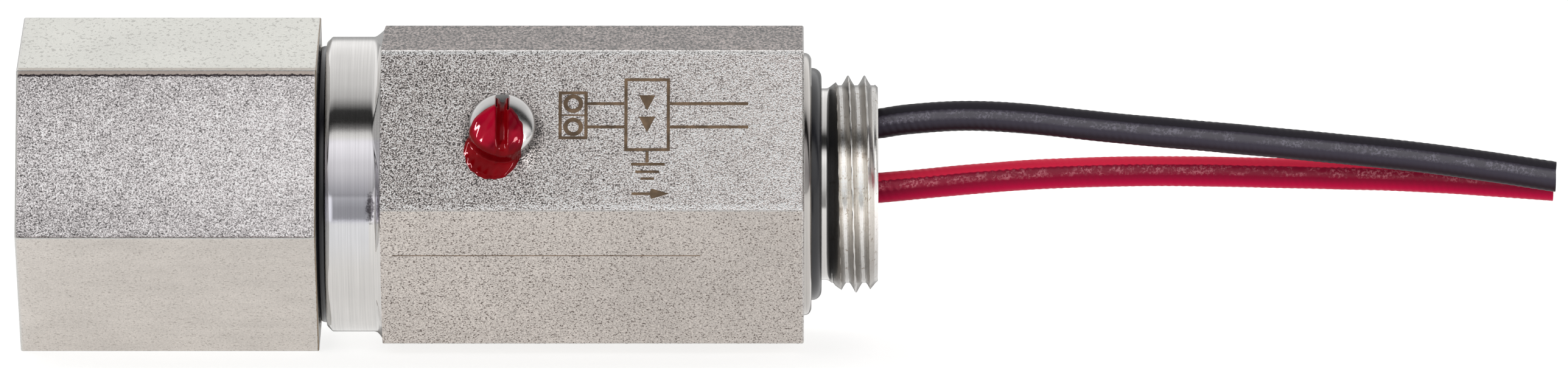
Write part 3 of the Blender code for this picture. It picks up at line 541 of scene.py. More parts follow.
def lacquer_film():
    """The film's grid (u, w) round the screw, its lower and upper heights, and where it is."""
    axis_u = np.arange(-4.2, 3.0, LACQUER_STEP)
    axis_w = np.arange(-5.4, 2.9, LACQUER_STEP)
    u, w = np.meshgrid(axis_u, axis_w, indexing="ij")
    distance = np.hypot(u, w)
    head = head_height(distance)
    on_head = distance < HEAD_RADIUS + 0.02
    half_slot = SLOT_WIDTH / 2
    steel = np.where(on_head, head, 0.0)
    steel = np.where((np.abs(u) < half_slot) & on_head, HEAD_TOP - SLOT_DEPTH, steel)
    wobble = 0.05 * np.sin(3.1 * u + 1.3) * np.cos(2.7 * w + 0.4)
    wobble = wobble + 0.03 * np.sin(7.3 * u - 4.1 * w)
    inside = outline_distance(u, w, rounded_outline(LACQUER_EDGE)) + wobble
    slot_end = 2.58 + 0.1 * np.abs(u)
    in_slot = np.minimum(half_slot + 0.08 - np.abs(u), np.minimum(slot_end - w, w + 1.0))
    inside = np.maximum(inside, in_slot)
    film = 0.13 + wobble * 0.5
    sunk = 0.42 + 0.5 * smoothstep(1.0, 2.4, w) - 0.3 * smoothstep(-1.5, -2.8, w)
    filled = head - sunk * smoothstep(half_slot - 0.1, half_slot - 0.42, np.abs(u))
    over_head = np.where(np.abs(u) < half_slot - 0.1, filled + film * 0.4, head + film)
    beyond = np.clip(distance - HEAD_RADIUS, 0, None)
    puddle = 0.2 + wobble * 0.5 + 0.5 * np.exp(-beyond / 0.3)
    bubble = 0.14 * np.exp(-((u + 0.67) ** 2 + (w + 3.16) ** 2) / 0.018)
    surface = np.where(distance < HEAD_RADIUS + 0.14, over_head, puddle + bubble)
    rise = smoothstep(-0.05, 0.36, inside) ** 0.62
    top = steel - 0.03 + (blurred(surface, 5) - steel + 0.03) * rise
    return u, w, (steel - 0.06, top), inside > -0.05


def make_lacquer(material):
    """One continuous film: in the slot, over the head's middle and out over the face."""
    u, w, layers, shown = lacquer_film()
    before = np.roll(shown, 1, 0)
    keep = shown & before & np.roll(shown, 1, 1) & np.roll(before, 1, 1)
    index = {}
    verts, faces = [], []

    def vertex(layer, i, j):
        if (layer, i, j) not in index:
            index[layer, i, j] = len(verts)
            verts.append(face_point(X_EARTH_SCREW + u[i, j], w[i, j], layers[layer][i, j]))
        return index[layer, i, j]

    for i, j in zip(*np.nonzero(keep)):
        corners = [(i - 1, j - 1), (i, j - 1), (i, j), (i - 1, j)]
        for layer in (0, 1):
            faces.append([vertex(layer, *corner) for corner in corners])
        sides = (
            (keep[i - 1, j], corners[0], corners[3]), (keep[i + 1, j], corners[2], corners[1]),
            (keep[i, j - 1], corners[1], corners[0]), (keep[i, j + 1], corners[3], corners[2]),
        )
        for covered, first, second in sides:
            if not covered:
                upper = [vertex(1, *first), vertex(1, *second)]
                faces.append([*upper, vertex(0, *second), vertex(0, *first)])
    film = mesh_piece("seal_film", verts, faces, material, 180)
    return stand_in(film, "housing", "seal_lacquer")


# ---- leads


# By colour: where the lead leaves the stub (y, z), the phase of its dents, and its knots
LEADS = {
    "black": ((1.4, 5.35), 0.4, [
        (9.0, 1.1, 5.83), (14.0, 0.5, 6.23), (19.5, -0.3, 6.1), (28.0, -1.6, 5.4),
        (41.0, -3.2, 4.45), (54.0, -3.6, 3.2), (61.5, -3.6, 2.21), (X_LEAD_END, -3.6, 1.24),
    ]),
    "red": ((0.2, -0.4), 2.1, [
        (9.0, 0.3, -0.15), (15.0, 0.5, 0.39), (22.0, 0.8, 0.83), (32.0, 1.0, 1.03),
        (45.0, 1.0, 0.8), (56.0, 0.9, 0.48), (X_LEAD_END, 0.8, -0.3),
    ]),
}


def lead_line(leaves_at, knots):
    """The lead's centre line: straight through the stub, then a smooth curve to the end."""
    straight = [np.array([x, *leaves_at]) for x in np.arange(-6.4, X_STUB_END - 0.4, 0.4)]
    free = [np.array([X_STUB_END, *leaves_at])] + [np.array(knot) for knot in knots]
    padded = [2 * free[0] - free[1]] + free + [2 * free[-1] - free[-2]]
    curve = []
    for before, start, end, after in zip(padded, padded[1:], padded[2:], padded[3:]):
        pieces = max(1, round(float(np.linalg.norm(end - start)) / LEAD_STEP))
        for t in np.arange(pieces) / pieces:
            curve.append(0.5 * (
                2 * start + (end - before) * t
                + (2 * before - 5 * start + 4 * end - after) * t**2
                + (3 * start - before - 3 * end + after) * t**3
            ))
    return np.array(straight + curve + [free[-1]])


def line_frames(centres):
    tangents = np.gradient(centres, axis=0)
    tangents[-1] = [1.0, 0.0, 0.0]
    tangents /= np.linalg.norm(tangents, axis=1)[:, None]
    side = np.cross(tangents, [0.0, 0.0, 1.0])
    side /= np.linalg.norm(side, axis=1)[:, None]
    return side, np.cross(side, tangents)


def tube_points(centres, side, up, radius, columns):
    """Row-frame points of a tube. radius is one number, or one per (station, angle)."""
    angles = np.linspace(0, FULL_TURN, columns, endpoint=False)[None, :, None]
    radius = np.broadcast_to(radius, (len(centres), columns))[:, :, None]
    ring = side[:, None, :] * np.cos(angles) + up[:, None, :] * np.sin(angles)
    return centres[:, None, :] + ring * radius + np.array([X_SHIFT, 0.0, 0.0])


def jacket_radius(centres, phase):
    """The sheath's outside, with the soft slanting dents that the strands press into it."""
    angles = np.linspace(0, FULL_TURN, SHEATH_COLUMNS, endpoint=False)[None, :]
    along = centres[:, 0][:, None]
    strands = np.cos(4 * angles + FULL_TURN * along / 0.66 + phase)
    patch = 0.5 + 0.5 * np.sin(along * 0.83 + phase) * np.sin(angles * 2 + along * 0.21)
    slow = np.sin(along * 0.9 + 2.1 * phase + 2 * angles) * 0.008
    return SHEATH_RADIUS - 0.016 * (1 - strands) * (0.3 + 0.7 * patch) + slow * 0.6


def make_lead(colour, leaves_at, phase, knots, sheath_material, copper_material):
    centres = lead_line(leaves_at, knots)
    frames = line_frames(centres)
    outer = tube_points(centres, *frames, jacket_radius(centres, phase), SHEATH_COLUMNS)
    inner = tube_points(centres, *frames, SHEATH_BORE, SHEATH_COLUMNS)[::-1][::6]
    points = np.concatenate([outer, inner])
    faces = grid_faces(len(points), SHEATH_COLUMNS)
    sheath = mesh_piece(f"sheath_{colour}", points.reshape(-1, 3), faces, sheath_material, 50)
    stand_in(sheath, "housing", f"lead_insulation_{colour}")
    sparse = centres[::4]
    if not np.allclose(sparse[-1], centres[-1]):
        sparse = np.concatenate([sparse, centres[-1:]])
    side, up = line_frames(sparse)
    verts, faces = [], []
    for strand in range(7):
        lines = sparse
        if strand:
            turn = FULL_TURN * (strand / 6 + sparse[:, 0] / STRAND_LAY)
            offset = side * np.cos(turn)[:, None] + up * np.sin(turn)[:, None]
            lines = sparse + STRAND_CIRCLE * offset
        ring = tube_points(lines, side, up, STRAND_RADIUS, STRAND_COLUMNS)
        ends = [ring[row].mean(axis=0)[None, None].repeat(STRAND_COLUMNS, 1) for row in (0, -1)]
        ring = np.concatenate([ends[0], ring, ends[1]])
        made = sum(len(v) for v in verts)
        faces.append(grid_faces(len(ring), STRAND_COLUMNS, wrap_rows=False, offset=made))
        verts.append(ring.reshape(-1, 3))
    verts, faces = np.concatenate(verts), np.concatenate(faces)
    core = mesh_piece(f"strands_{colour}", verts, faces, copper_material, 50)
    stand_in(core, "housing", f"lead_conductor_{colour}")


# ---- values over a surface


class Value:
    """A number, vector or colour that varies over a surface: a node's output."""

    def __init__(self, surface, socket):
        self.surface, self.socket = surface, socket

    def calc(self, operation, *others):
        return self.surface.node("Math", (self, *others), operation=operation)

    def __rsub__(self, other):
        return self.surface.node("Math", (other, self), operation="SUBTRACT")

    __add__ = partialmethod(calc, "ADD")
    __sub__ = partialmethod(calc, "SUBTRACT")
    __mul__ = partialmethod(calc, "MULTIPLY")
    __truediv__ = partialmethod(calc, "DIVIDE")
    __abs__ = partialmethod(calc, "ABSOLUTE")
    linear = partialmethod(calc, "MULTIPLY_ADD")

    def lean(self, low, high, to_low=0, to_high=1, **settings):
        """Maps one range to another evenly, and holds the value at the ends."""
        inputs = (self, low, high, to_low, to_high)
        return self.surface.node("MapRange", inputs, **settings)

    def span(self, low, high, to_low=0, to_high=1):
        """Maps one range to another with a soft start and end."""
        return self.lean(low, high, to_low, to_high, interpolation_type="SMOOTHSTEP")

    def between(self, low, high, blur):
        """1 where the value lies between two limits."""
        return self.span(low - blur, low + blur) * self.span(high + blur, high - blur)

    def part(self, axis):
        return self.surface.node("SeparateXYZ", (self,), axis)

    def vector_math(self, operation, other):
        inputs = (self, tuple(other))
        return self.surface.node("VectorMath", inputs, "Value", operation=operation)

    def scaled(self, factor):
        """This colour multiplied by a value that varies over the piece."""
        return self.surface.scale(self, factor)

    def painted(self, share, paint):
        """This colour, with another one over it where the share is 1."""
        return self.surface.mix(share, self, paint)

    def shaded(self, mask, factor):
        """This colour multiplied by a factor, a number or a colour, where the mask is 1."""
        factor = (factor,) * 3 if isinstance(factor, float) else factor
        return self.painted(mask, self.surface.mix(1, self, factor, "MULTIPLY"))


class Surface:
    """The nodes of a material or a world, with short names for the ones used here."""

    def __init__(self, owner):
        owner.use_nodes = True
        self.owner, self.tree = owner, owner.node_tree

    def node(self, kind, inputs=(), output=0, **settings):
        """A new node's output. Its inputs are numbers, tuples or Values, in order or by name."""
        node = self.tree.nodes.new("ShaderNode" + kind)
        for key, value in settings.items():
            setattr(node, key, value)
        for key, value in inputs.items() if isinstance(inputs, dict) else enumerate(inputs):
            self.connect(node.inputs[key], value)
        return Value(self, node.outputs[output])

    def connect(self, socket, value):
        if isinstance(value, Value):
            self.tree.links.new(value.socket, socket)
        elif isinstance(value, tuple) and len(value) == 3 and socket.type == "RGBA":
            socket.default_value = (*value, 1)
        else:
            socket.default_value = value

    def mix(self, share, first, second, blend="MIX"):
        """Two colours mixed by a share of the second."""
        inputs = {0: share, 6: first, 7: second}
        return self.node("Mix", inputs, 2, data_type="RGBA", blend_type=blend)

    def mix_numbers(self, share, first, second):
        inputs = {0: share, 2: first, 3: second}
        return self.node("Mix", inputs, data_type="FLOAT")

    def scale(self, colour, factor):
        inputs = {0: colour, "Scale": factor}
        return self.node("VectorMath", inputs, operation="SCALE")

    def place(self):
        """The point on the piece, in metres in the row frame."""
        return self.node("TexCoord", output="Object")

    def normal(self):
        return self.node("TexCoord", output="Normal")

    def noise(self, scale, detail=2, roughness=0.5, stretch=None):
        where = self.place()
        if stretch:
            where = self.node("Mapping", {"Vector": where, "Scale": stretch})
        inputs = {"Vector": where, "Scale": scale, "Detail": detail, "Roughness": roughness}
        return self.node("TexNoise", inputs, "Fac")

    def pits(self, scale, limit, stretch):
        """1 in small separate pits."""
        return self.noise(scale, 2, 0.6, stretch).span(limit, limit + 0.03)

    def millimetres(self, axis):
        """The point's x from the shoulder, or its y or z, in millimetres."""
        return self.place().part(axis).linear(1000, -X_SHIFT if axis == "X" else 0)

    def distance_from(self, point):
        """Millimetres from a point given in row-frame millimetres."""
        return self.place().vector_math("DISTANCE", [c * MM for c in point]) * 1000

    def facing(self, degrees):
        """1 where the piece faces this way round the axis."""
        outward, _ = face_directions(degrees)
        return self.normal().vector_math("DOT_PRODUCT", outward).span(0.97, 0.995)

    def height_on_face(self, degrees):
        """Millimetres up a hexagon face from its centre line."""
        _, along = face_directions(degrees)
        return self.place().vector_math("DOT_PRODUCT", along) * 1000

    def seen_or_lit(self, seen, lit):
        """One value where the camera looks, and another for the light on the object."""
        camera_ray = self.node("LightPath", output="Is Camera Ray")
        return self.mix_numbers(camera_ray, lit, seen)

    def finish(self, inputs, bumps=()):
        """Sets the material's inputs and stacks bumps of (height, strength, depth)."""
        normal = {}
        for height, strength, depth in bumps:
            layer = {"Height": height, "Strength": strength, "Distance": depth * MM, **normal}
            normal = {"Normal": self.node("Bump", layer)}
        shader = self.tree.nodes["Principled BSDF"]
        for key, value in {**inputs, **normal}.items():
            self.connect(shader.inputs[key], value)
        return self.owner


def new_surface(name):
    return Surface(bpy.data.materials.new(name))


# ---- materials


def finish_steel(s, colour, coarse, polished, contrast):
    """Grain of a given contrast, pebbled where coarse is 1 and turned where polished is 1."""
    grain = s.noise(6500, 2, 0.6)
    cells = {"Vector": s.place(), "Scale": 8600, "Smoothness": 0.5}
    cells = s.node("TexVoronoi", cells, "Distance", feature="SMOOTH_F1")
    pebbles = cells.linear(-0.7, s.noise(6200, 2, 0.6).linear(1, 0.35))
    turned_marks = s.noise(1, 3, 0.7, stretch=(7000, 50, 50))
    mottle = s.mix_numbers(coarse, grain, pebbles)
    mottle = s.mix_numbers(polished, mottle, turned_marks)
    swing = ((mottle - 0.5) * contrast).calc("MAXIMUM", -1.2)
    glints = (swing * swing).linear(0.26, 0.975)
    patches = s.noise(800, 4, 0.75).lean(0.35, 0.65, 0.84, 1.16)
    patches = s.mix_numbers(coarse, 1, patches)
    factor = (swing + glints).calc("MINIMUM", 2.3).calc("MAXIMUM", 0.12) * patches
    roughness = polished.linear(-0.2, grain.linear(0.12, 0.24)).calc("MAXIMUM", 0.07)
    inputs = {"Base Color": colour.scaled(factor), "Metallic": 1, "Roughness": roughness}
    return s.finish(inputs, [
        (grain * (1 - polished).linear(0.85, 0.15), 0.5, 0.010),
        (pebbles * coarse, 1, 0.040),
        (turned_marks * polished, 0.35, 0.003),
    ])


def body_steel():
    """Blasted hexagon, coarse round the screw and fine elsewhere, with turned ends."""
    s = new_surface("body_steel_blasted")
    x, y, z = (s.millimetres(axis) for axis in "XYZ")
    radius = (y * y + z * z).calc("SQRT")
    in_front = y.span(0, -1)
    hexagon = x.between(X_HEX_LEFT - 0.02, X_HEX_RIGHT + 0.04, 0.03)
    turned = 1 - hexagon
    directions = (SCREW_FACE, TOP_FACE, LOWER_FACE)
    screw_face, top, lower = (s.facing(degrees) * hexagon for degrees in directions)
    colour = s.mix(hexagon, (0.66, 0.645, 0.63), (0.58, 0.56, 0.54))
    colour = colour.scaled(s.noise(130, 3, 0.55).lean(0.3, 0.7, 0.95, 1.05))
    # Painted reflection: a cool tint in front of the collar and neck, round axis height.
    painted_cool_reflection = turned * x.span(-40, -40.2) * z.between(-4.5, 1.5, 2) * in_front
    colour = colour.shaded(painted_cool_reflection, (0.96, 0.98, 1.03))

    # The hexagon's faces: painted light brighter to the right on the screw face, the lower face a
    # little darker to the right, painted shade on top and painted highlights along two edges
    # Painted light brightens the screw face to the right. Round the head the blasting is a little
    # darker, with a painted contact shadow close to it.
    from_screw = s.distance_from(face_point(X_EARTH_SCREW, -0.2, 0))
    blast_and_contact_shadow = from_screw.span(3, 6, 0.84, 1) * from_screw.span(3.1, 4.2, 0.42, 1)
    lit = colour.scaled(x.lean(-38, -2, 1.02, 1.7) * blast_and_contact_shadow)
    colour = colour.painted(screw_face, lit).shaded(screw_face, (1, 0.95, 0.955))
    # Painted shade: the top face darkened.
    colour = colour.shaded(top, (0.485, 0.43, 0.42))
    colour = colour.painted(lower, colour.scaled(x.lean(-30, -2, 1.08, 0.96)))
    colour = colour.shaded(lower, (0.982, 0.937, 0.91))
    # Painted highlight along the corner between the screw face and the lower face.
    colour = colour.shaded(screw_face * y.span(-15.2, -15.32), 1.3)
    # Painted highlight along the corner between the screw face and the top.
    painted_edge_highlight = hexagon * z.span(13.1, 13.2) * y.between(-8, -7.55, 0.05)
    colour = colour.painted(painted_edge_highlight, (0.98, 0.95, 0.93))
    for degrees in (150, 210, 270):
        colour = colour.shaded(s.facing(degrees) * hexagon, (0.93, 0.9, 0.87))

    # Streaks on top, pits on the plain faces and one brown stain
    streaks = s.noise(5200, 3, 0.75, (0.8, 0.22, 1)).lean(0.4, 0.6, 0.05, 1.95)
    bands = s.noise(1300, 3, 0.6, (0.5, 0.3, 1)).lean(0.35, 0.65, 0.8, 1.2)
    # The streaks are the top's grain; they grow stronger at grazing views, which paints the shade
    # of its bumps.
    grazing = s.node("LayerWeight", output="Facing").lean(0.3, 0.8, 0.25, 1)
    colour = colour.painted(top * grazing, colour.scaled(streaks * bands))
    thinning = x.span(-36, -4, 0.562, 0.575)
    pits = s.noise(7400, 2, 0.65, (0.8, 1, 1)).span(thinning, thinning + 0.04)
    sides = hexagon - screw_face.calc("MAXIMUM", top)
    colour = colour.painted(pits * sides * 0.85, (0.085, 0.06, 0.05))
    stain = s.distance_from((-5.4 + X_SHIFT, -6.4, FLAT_DISTANCE)).span(1.6, 0.5)
    patchy = s.noise(1100, 3, 0.6).span(0.42, 0.6)
    colour = colour.painted(stain * patchy * 0.6, (0.16, 0.10, 0.06))

    # The collar: painted shade in the crease at its right edge, and painted reflections in front:
    # brightness that changes with height and a cool band
    across, upward = (x + 39.98) / 0.4, (z + 0.1) / 1.4
    ragged = s.noise(3600, 3, 0.6).lean(0.35, 0.65, -0.5, 0.5)
    # Painted shade in the crease where the collar meets the fillet.
    crease_shade = (across * across + upward * upward + ragged).span(1.4, 0) * in_front
    colour = colour.painted(crease_shade * 0.85, (0.06, 0.05, 0.06))
    # Painted reflections on the collar in front: brighter and darker bands by height, and a cool
    # tint.
    collar = x.span(-38.9, -39.2) * in_front
    reflection_by_height = z.span(4.5, 1.1, 1, 0.76)
    reflection_by_height = reflection_by_height * z.span(1.15, 0.75, 1, 1.5) * z.span(-1.15, -1.45, 1, 0.88)
    colour = colour.shaded(collar, reflection_by_height)
    colour = colour.shaded(collar * z.between(-1.4, 6, 0.3), (0.97, 0.965, 1.04))

    # The flange, the stub's thread and the bore, with painted shade on the flange and the thread
    flange = x.between(X_HEX_RIGHT + 0.06, 0.05, 0.03)
    # Painted shade on the flange in front, above the axis.
    flange_shade = z.between(1.5, 7.5, 1.5) * in_front
    colour = colour.shaded(flange, s.mix(flange_shade, (0.8, 0.78, 0.76), (0.36, 0.34, 0.34)))
    thread = x.span(1.5, 1.7)
    # The flanks are painted darker and browner as shade, and the thread is painted brighter near
    # axis height and darker towards top and bottom.
    flank = radius.between(9.2, 9.8, 0.06)
    thread_colour = s.mix(flank, (0.93, 0.905, 0.875), (0.62, 0.585, 0.54))
    thread_colour = thread_colour.scaled(abs(z - 1.2).span(0.5, 8.5, 1.15, 0.53))
    colour = colour.painted(thread, thread_colour)
    # Painted shade on the lead-in cone, which faces the flange.
    lead_in = thread * x.span(2.7, 2.5) * s.normal().part("X").span(-0.3, -0.5)
    colour = colour.shaded(lead_in, 0.6)
    grime = s.noise(2300, 3, 0.6).span(0.6, 0.7)
    colour = colour.shaded(grime * thread, (0.6, 0.55, 0.5))
    colour = colour.painted(radius.span(7.6, 7.4), (0.3, 0.28, 0.26))

    contrast = screw_face * x.lean(-38, -2, 4.9, 1.7) + (top + lower).linear(0.7, 0.5)
    return finish_steel(s, colour, screw_face, turned - thread * 0.65, contrast)


def sleeve_steel():
    """Blasted hexagon: pale on top, coarse in the middle, with smooth margins."""
    s = new_surface("sleeve_steel_blasted")
    x, y, z = (s.millimetres(axis) for axis in "XYZ")
    directions = [face - SLEEVE_DEG for face in (TOP_FACE, SCREW_FACE, LOWER_FACE)]
    top, middle, lower = (s.facing(degrees) for degrees in directions)
    top_height, middle_height = (s.height_on_face(degrees) for degrees in directions[:2])
    colour = s.scale((0.60, 0.59, 0.57), s.noise(130, 3, 0.55).lean(0.3, 0.7, 0.96, 1.04))
    colour = colour.shaded(top, (1.03, 1.04, 1))
    # Painted light: the middle face brightens to the right and darkens towards its upper and lower
    # edges.
    light_falloff = abs(middle_height).span(2, 8, 1.03, 0.86)
    lit = colour.scaled(x.lean(-71, -48, 0.98, 1.24) * light_falloff)
    colour = colour.painted(middle, lit).shaded(middle, (1, 0.96, 1))
    colour = colour.shaded(lower, (1.03, 0.98, 0.95))
    brushed = s.noise(700, 4, 0.7, (0.2, 1, 1)).lean(0.35, 0.65, 0.96, 1.04)
    colour = colour.painted(lower, colour.scaled(brushed))

    # The margin along the top of the coarse middle, painted shade along the edges and a brown rim
    # at the right end
    ragged = s.noise(2600, 3, 0.6).linear(0.4, -0.2)
    edge = middle_height + ragged
    margin = middle * edge.span(7.3, 7.4)
    coarse = middle - margin
    colour = colour.shaded(margin, (0.66, 0.60, 0.54))
    # Painted shade: dark lines along the margin, along the middle face's lower edge and along the
    # top face's front edge.
    colour = colour.shaded(middle * edge.between(7.2, 7.4, 0.04), (0.13, 0.12, 0.13))
    colour = colour.shaded(middle * edge.span(-7.55, -7.68), (0.4, 0.37, 0.36))
    colour = colour.shaded(top * top_height.span(-7.05, -7.2), (0.66, 0.61, 0.58))
    top_pits = s.pits(6000, 0.585, (0.5, 0.3, 1))
    colour = colour.painted(top_pits * top * 0.42, (0.16, 0.15, 0.13))
    lower_pits = s.pits(6800, 0.6, (0.55, 1, 1))
    colour = colour.painted(lower_pits * lower * 0.4, (0.2, 0.17, 0.15))
    rim = ragged.linear(0.3, x).span(X_SLEEVE_RIGHT - 0.17, X_SLEEVE_RIGHT - 0.1)
    colour = colour.shaded(rim * s.normal().part("X").span(0.95, 0.8), (0.42, 0.34, 0.26))

    bored = (y * y + z * z).calc("SQRT").span(13.2, 12.9)
    contrast = coarse.linear(x.lean(-71, -48, 2.9, 2.2), 0.5)
    return finish_steel(s, colour, coarse, bored, contrast)


def simple_surface(
    name, colour, roughness, metallic=0, grain=2000, depth=0.01, vary=0.12, coat=0,
    specular=0.5,
):
    """A procedural finish: mottled colour, uneven roughness and fine bump."""
    s = new_surface(name)
    fine = s.noise(grain, 3, 0.6)
    dark = tuple(c * (1 - vary) for c in colour)
    light = tuple(min(1, c * (1 + vary)) for c in colour)
    inputs = {
        "Base Color": s.mix(s.noise(grain * 0.12, 3).span(0.3, 0.7), dark, light),
        "Roughness": fine.linear(0.14, roughness - 0.07), "Metallic": metallic,
        "Coat Weight": coat, "Coat Roughness": 0.06, "Specular IOR Level": specular,
    }
    return s.finish(inputs, [(fine, 0.4, depth)])


def lacquer_red():
    """Thick glossy lacquer: brighter where it lies thin over the polished head."""
    s = new_surface("lacquer_red")
    flow = s.noise(420, 2, 0.5)
    from_slot = abs(s.millimetres("X") - X_EARTH_SCREW)
    head = s.distance_from(face_point(X_EARTH_SCREW, 0, 2.2)).span(3, 2.6)
    colour = s.mix(flow.span(0.3, 0.7), (0.052, 0, 0.0006), (0.075, 0.0003, 0.0014))
    pooled = s.noise(330, 2, 0.5).span(0.4, 0.6)
    over_head = s.mix(pooled, (0.125, 0.001, 0.007), (0.055, 0.0005, 0.003))
    inputs = {
        "Base Color": colour.painted(head * from_slot.span(0.5, 0.75), over_head),
        "Roughness": 0.1, "Specular IOR Level": 0.1, "Specular Tint": (1, 0.2, 0.25),
        "Coat Weight": 0.12, "Coat Roughness": 0.02,
    }
    return s.finish(inputs, [(flow, 0.3, 0.04)])


def lead_sheath(name, upper, front, lower, glint_colour, roughness, specular):
    """Lead insulation with painted light: lit and shaded copies of its colour on the upper side,
    front and lower side, and painted glints on the dents in front.
    """
    s = new_surface(name)
    normal = s.normal()
    rise = normal.part("Z").calc("ARCTAN2", abs(normal.part("Y"))) * (180 / math.pi)
    fine = s.noise(2600, 3, 0.6)
    dents_and_glints = s.noise(1300, 2, 0.6, (0.6, 1, 1))
    # The front band where the dents catch the light: pale glints are painted there, and its
    # specular level is raised.
    strands = rise.between(0, 30, 8)
    # Painted light: the upper side, front and lower side in lit and shaded copies of the sheath's
    # colour.
    colour = s.mix(rise.span(-45, -5), lower, front).painted(rise.span(33, 39), upper)
    # Painted glints: pale specks on the dents in the front band.
    specks = s.noise(4600, 2, 0.7).span(0.44, 0.6)
    colour = colour.painted(dents_and_glints.span(0.38, 0.62) * strands * specks, glint_colour)
    # Painted sheen: the front band is brighter near the stub.
    near_stub = strands * s.millimetres("X").span(16, 6)
    sheen_near_stub = s.mix(near_stub, (1, 1, 1), (1.5, 1.5, 1.5))
    inputs = {
        "Base Color": s.mix(1, colour, sheen_near_stub, "MULTIPLY"),
        "Roughness": fine.linear(0.16, roughness - 0.08),
        "Specular IOR Level": strands.lean(0, 1, 0.04, specular),
    }
    return s.finish(inputs, [(fine, 0.4, 0.01), (dents_and_glints * strands, 0.6, 0.03)])


# By name: colour, roughness, metallic, grain, depth, vary, coat and specular
SIMPLE_SURFACES = {
    "laser_mark": ((0.19, 0.125, 0.075), 0.5, 0.3, 6000, 0.03, 0.4),
    "screw_polished": ((0.62, 0.61, 0.6), 0.16, 1, 3000, 0.004, 0.08),
    "ring_rubber_black": ((0.01, 0.01, 0.014), 0.24, 0, 2500, 0.006, 0.3, 0, 0.6),
    "copper_strand": ((0.62, 0.3, 0.17), 0.3, 1, 3000, 0.005),
    "resin_black": ((0.015, 0.015, 0.016), 0.3, 0, 600, 0.03, 0.3),
    "nylon_green": ((0.045, 0.19, 0.07), 0.42, 0, 1800),
    "tinned_strip": ((0.66, 0.66, 0.63), 0.28, 1, 1500, 0.006),
    "zinc_plated": ((0.62, 0.62, 0.6), 0.3, 1, 2200, 0.006, 0.15),
    "brass_strip": ((0.66, 0.46, 0.18), 0.28, 1, 1500, 0.005),
    "ceramic_ring": ((0.75, 0.72, 0.67), 0.5, 0, 1500, 0.01, 0.06),
    "electrode_tinned": ((0.6, 0.58, 0.55), 0.32, 1, 1800, 0.006),
    "resistor_coat": ((0.08, 0.19, 0.3), 0.3, 0, 1500),
    "diode_moulding": ((0.02, 0.02, 0.021), 0.45, 0, 2500, 0.01, 0.25),
    "film_amber": ((0.6, 0.36, 0.1), 0.35, 0, 700, 0.008, 0.15, 0.2),
    "board_mask_green": ((0.012, 0.09, 0.03), 0.35, 0, 1600, 0.006, 0.2, 0.3),
}

# The finish of the CAD nodes that stay in the picture, by a part of their names
CARRIED_OVER = {
    "insulating_tube": "film_amber", "circuit_board": "board_mask_green",
    "earth_bracket": "brass_strip", "_electrode": "electrode_tinned", "_ceramic": "ceramic_ring",
    "_resistor_": "resistor_coat", "_diode_": "diode_moulding", "terminal_block": "nylon_green",
    "terminal_contact": "tinned_strip", "clamp_cage": "zinc_plated",
    "terminal_screw": "zinc_plated", "potting_plug": "resin_black",
}


def make_materials():
    materials = {name: simple_surface(name, *rest) for name, rest in SIMPLE_SURFACES.items()}
    materials["body"] = body_steel()
    materials["sleeve"] = sleeve_steel()
    materials["lacquer"] = lacquer_red()
    materials["black"] = lead_sheath(
        "sheath_black_satin", (0.030, 0.027, 0.034), (0.06, 0.053, 0.072),
        (0.022, 0.013, 0.018), (0.16, 0.147, 0.19), 0.34, 0.75,
    )
    materials["red"] = lead_sheath(
        "sheath_red_satin", (0.92, 0.032, 0.088), (0.27, 0.006, 0.032),
        (0.46, 0.002, 0.044), (0.52, 0.13, 0.17), 0.36, 0.3,
    )
    return materials


def carry_over(materials):
    for part, finish in CARRIED_OVER.items():
        for node in [node for name, node in NODES.items() if part in name]:
            node.data.materials.clear()
            node.data.materials.append(materials[finish])


# ---- studio


# Brightness of the studio by direction round the axis, from the front upwards
STUDIO = [
    (-180, 0.35), (-143, 0.32), (-121, 0.88), (-105, 1), (-27, 1), (-20, 0.42), (-12, 0.38),
    (-4, 0.48), (3, 0.69), (11, 0.84), (18, 0.92), (26, 0.93), (34, 1.12), (41, 1.24),
    (49, 0.86), (53, 0.22), (58, 0.03), (69, 0.04), (72, 0.2), (81, 0.66), (94, 0.86),
    (105, 0.92), (116, 1), (130, 1.07), (148, 1.21), (158, 1.15), (166, 0.6), (172, 0.48),
    (180, 0.35),
]
BACKGROUND = 1.02


def make_world():
    world = bpy.data.worlds.new("studio")
    bpy.context.scene.world = world
    s = Surface(world)
    direction = s.node("TexCoord", output="Generated")
    turn = direction.part("Z").calc("ARCTAN2", direction.part("Y") * -1)
    ramp = s.node("ValToRGB", (turn.linear(1 / FULL_TURN, 0.5),))
    stops = ramp.socket.node.color_ramp.elements
    while len(stops) < len(STUDIO):
        stops.new(0.5)
    for stop, (degrees, _) in zip(stops, STUDIO):
        stop.position = (degrees + 180) / 360
    for stop, (_, level) in zip(stops, STUDIO):
        stop.color = (level / 2, level / 2, level / 2, 1)
    sideways = abs(direction.part("X"))
    level = ramp * 2 * sideways.span(0.7, 1, 1, 0.7)
    background = s.tree.nodes["Background"]
    s.connect(background.inputs["Color"], s.seen_or_lit(BACKGROUND, level))
    s.connect(background.inputs["Strength"], 1)


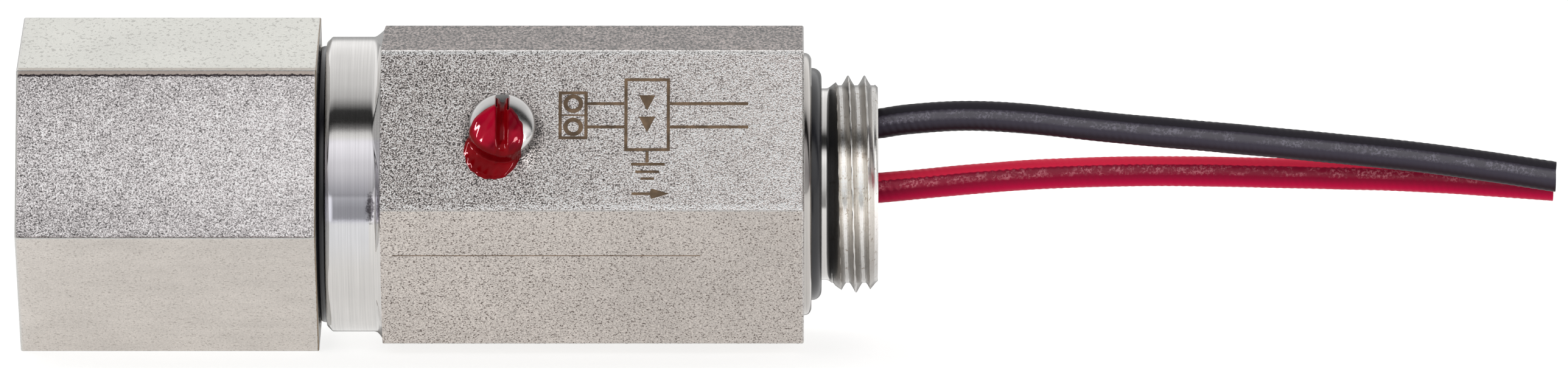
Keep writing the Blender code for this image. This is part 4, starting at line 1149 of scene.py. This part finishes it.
def make_floor(low):
    """A plain pale sheet under the object. It can be seen through from below."""
    mesh = bpy.data.meshes.new("floor")
    corners = [(x, y, low) for x, y in rectangle(-30, 30, -30, 30)]
    mesh.from_pydata(corners, [], [(0, 1, 2, 3)])
    s = new_surface("floor_white")
    incoming = s.node("NewGeometry", output="Incoming")
    steep, sideways = incoming.part("Z"), abs(incoming.part("X"))
    bright = steep.span(0.31, 0.37).calc("MAXIMUM", sideways.span(0.15, 0.4)) * 0.72
    glow = steep.span(0, 0.19, 0.16, 0).calc("MAXIMUM", bright)
    material = s.finish({
        "Base Color": (0.5, 0.5, 0.495), "Roughness": 0.9, "Specular IOR Level": 0,
        "Emission Color": (1, 1, 0.995), "Emission Strength": s.seen_or_lit(0.74, glow),
    })
    sheet = Value(s, s.tree.nodes["Principled BSDF"].outputs[0])
    clear = s.node("BsdfTransparent")
    below = s.node("NewGeometry", output="Backfacing")
    both = s.node("MixShader", (below, sheet, clear))
    s.connect(s.tree.nodes["Material Output"].inputs["Surface"], both)
    mesh.materials.append(material)
    new_object("floor", mesh)


def make_camera():
    """Level with the axis and 9 degrees above it, far away, like the photograph."""
    distance = 1.4
    picture_width = 143.3 * MM
    elevation = math.radians(9)
    data = bpy.data.cameras.new("camera")
    data.sensor_width = 36
    data.lens = data.sensor_width * distance / picture_width
    data.clip_start = 0.01
    data.clip_end = 100
    camera = new_object("camera", data)
    back = Vector((0, -math.cos(elevation), math.sin(elevation)))
    camera.location = Vector((-0.35 * MM, 0, 0)) + back * distance
    camera.rotation_euler = (-back).to_track_quat("-Z", "Y").to_euler()
    bpy.context.scene.camera = camera


# By name: direction, width, height and radiance
STRIPS = {
    "strip_left": ((-0.81, -0.49, 0.32), 0.07, 0.42, 130),
    "strip_right": ((0.56, -0.83, 0.04), 0.24, 0.30, 50),
}
STRIP_DISTANCE = 0.8


def make_strips(pieces):
    """Narrow soft boxes that only make highlights on the glossy pieces."""
    receivers = bpy.data.collections.new("glossy_pieces")
    for piece in pieces:
        receivers.objects.link(piece)
    for name, (direction, width, height, radiance) in STRIPS.items():
        data = bpy.data.lights.new(name, "AREA")
        data.shape = "RECTANGLE"
        data.size, data.size_y = width, height
        data.energy = radiance * math.pi * width * height
        light = new_object(name, data)
        light.location = Vector(direction).normalized() * STRIP_DISTANCE
        light.rotation_euler = light.location.to_track_quat("Z", "Y").to_euler()
        light.light_linking.receiver_collection = receivers


# ---- assembly


materials = make_materials()
carry_over(materials)
make_body(materials["body"], materials["laser_mark"])
make_sleeve(materials["sleeve"])
rubber = materials["ring_rubber_black"]
make_ring("collar_ring", "sleeve_o_ring", "sealing_ring", -44.3, 11.76, rubber)
make_ring("face_ring", "stub_o_ring", "housing", 0.05, 9.74, rubber)
make_strips([make_screw(materials["screw_polished"]), make_lacquer(materials["lacquer"])])
for colour, lead in LEADS.items():
    make_lead(colour, *lead, materials[colour], materials["copper_strand"])
make_world()
make_floor(CAD_BOX[0].z)
make_camera()
bpy.context.scene.view_settings.view_transform = "Standard"
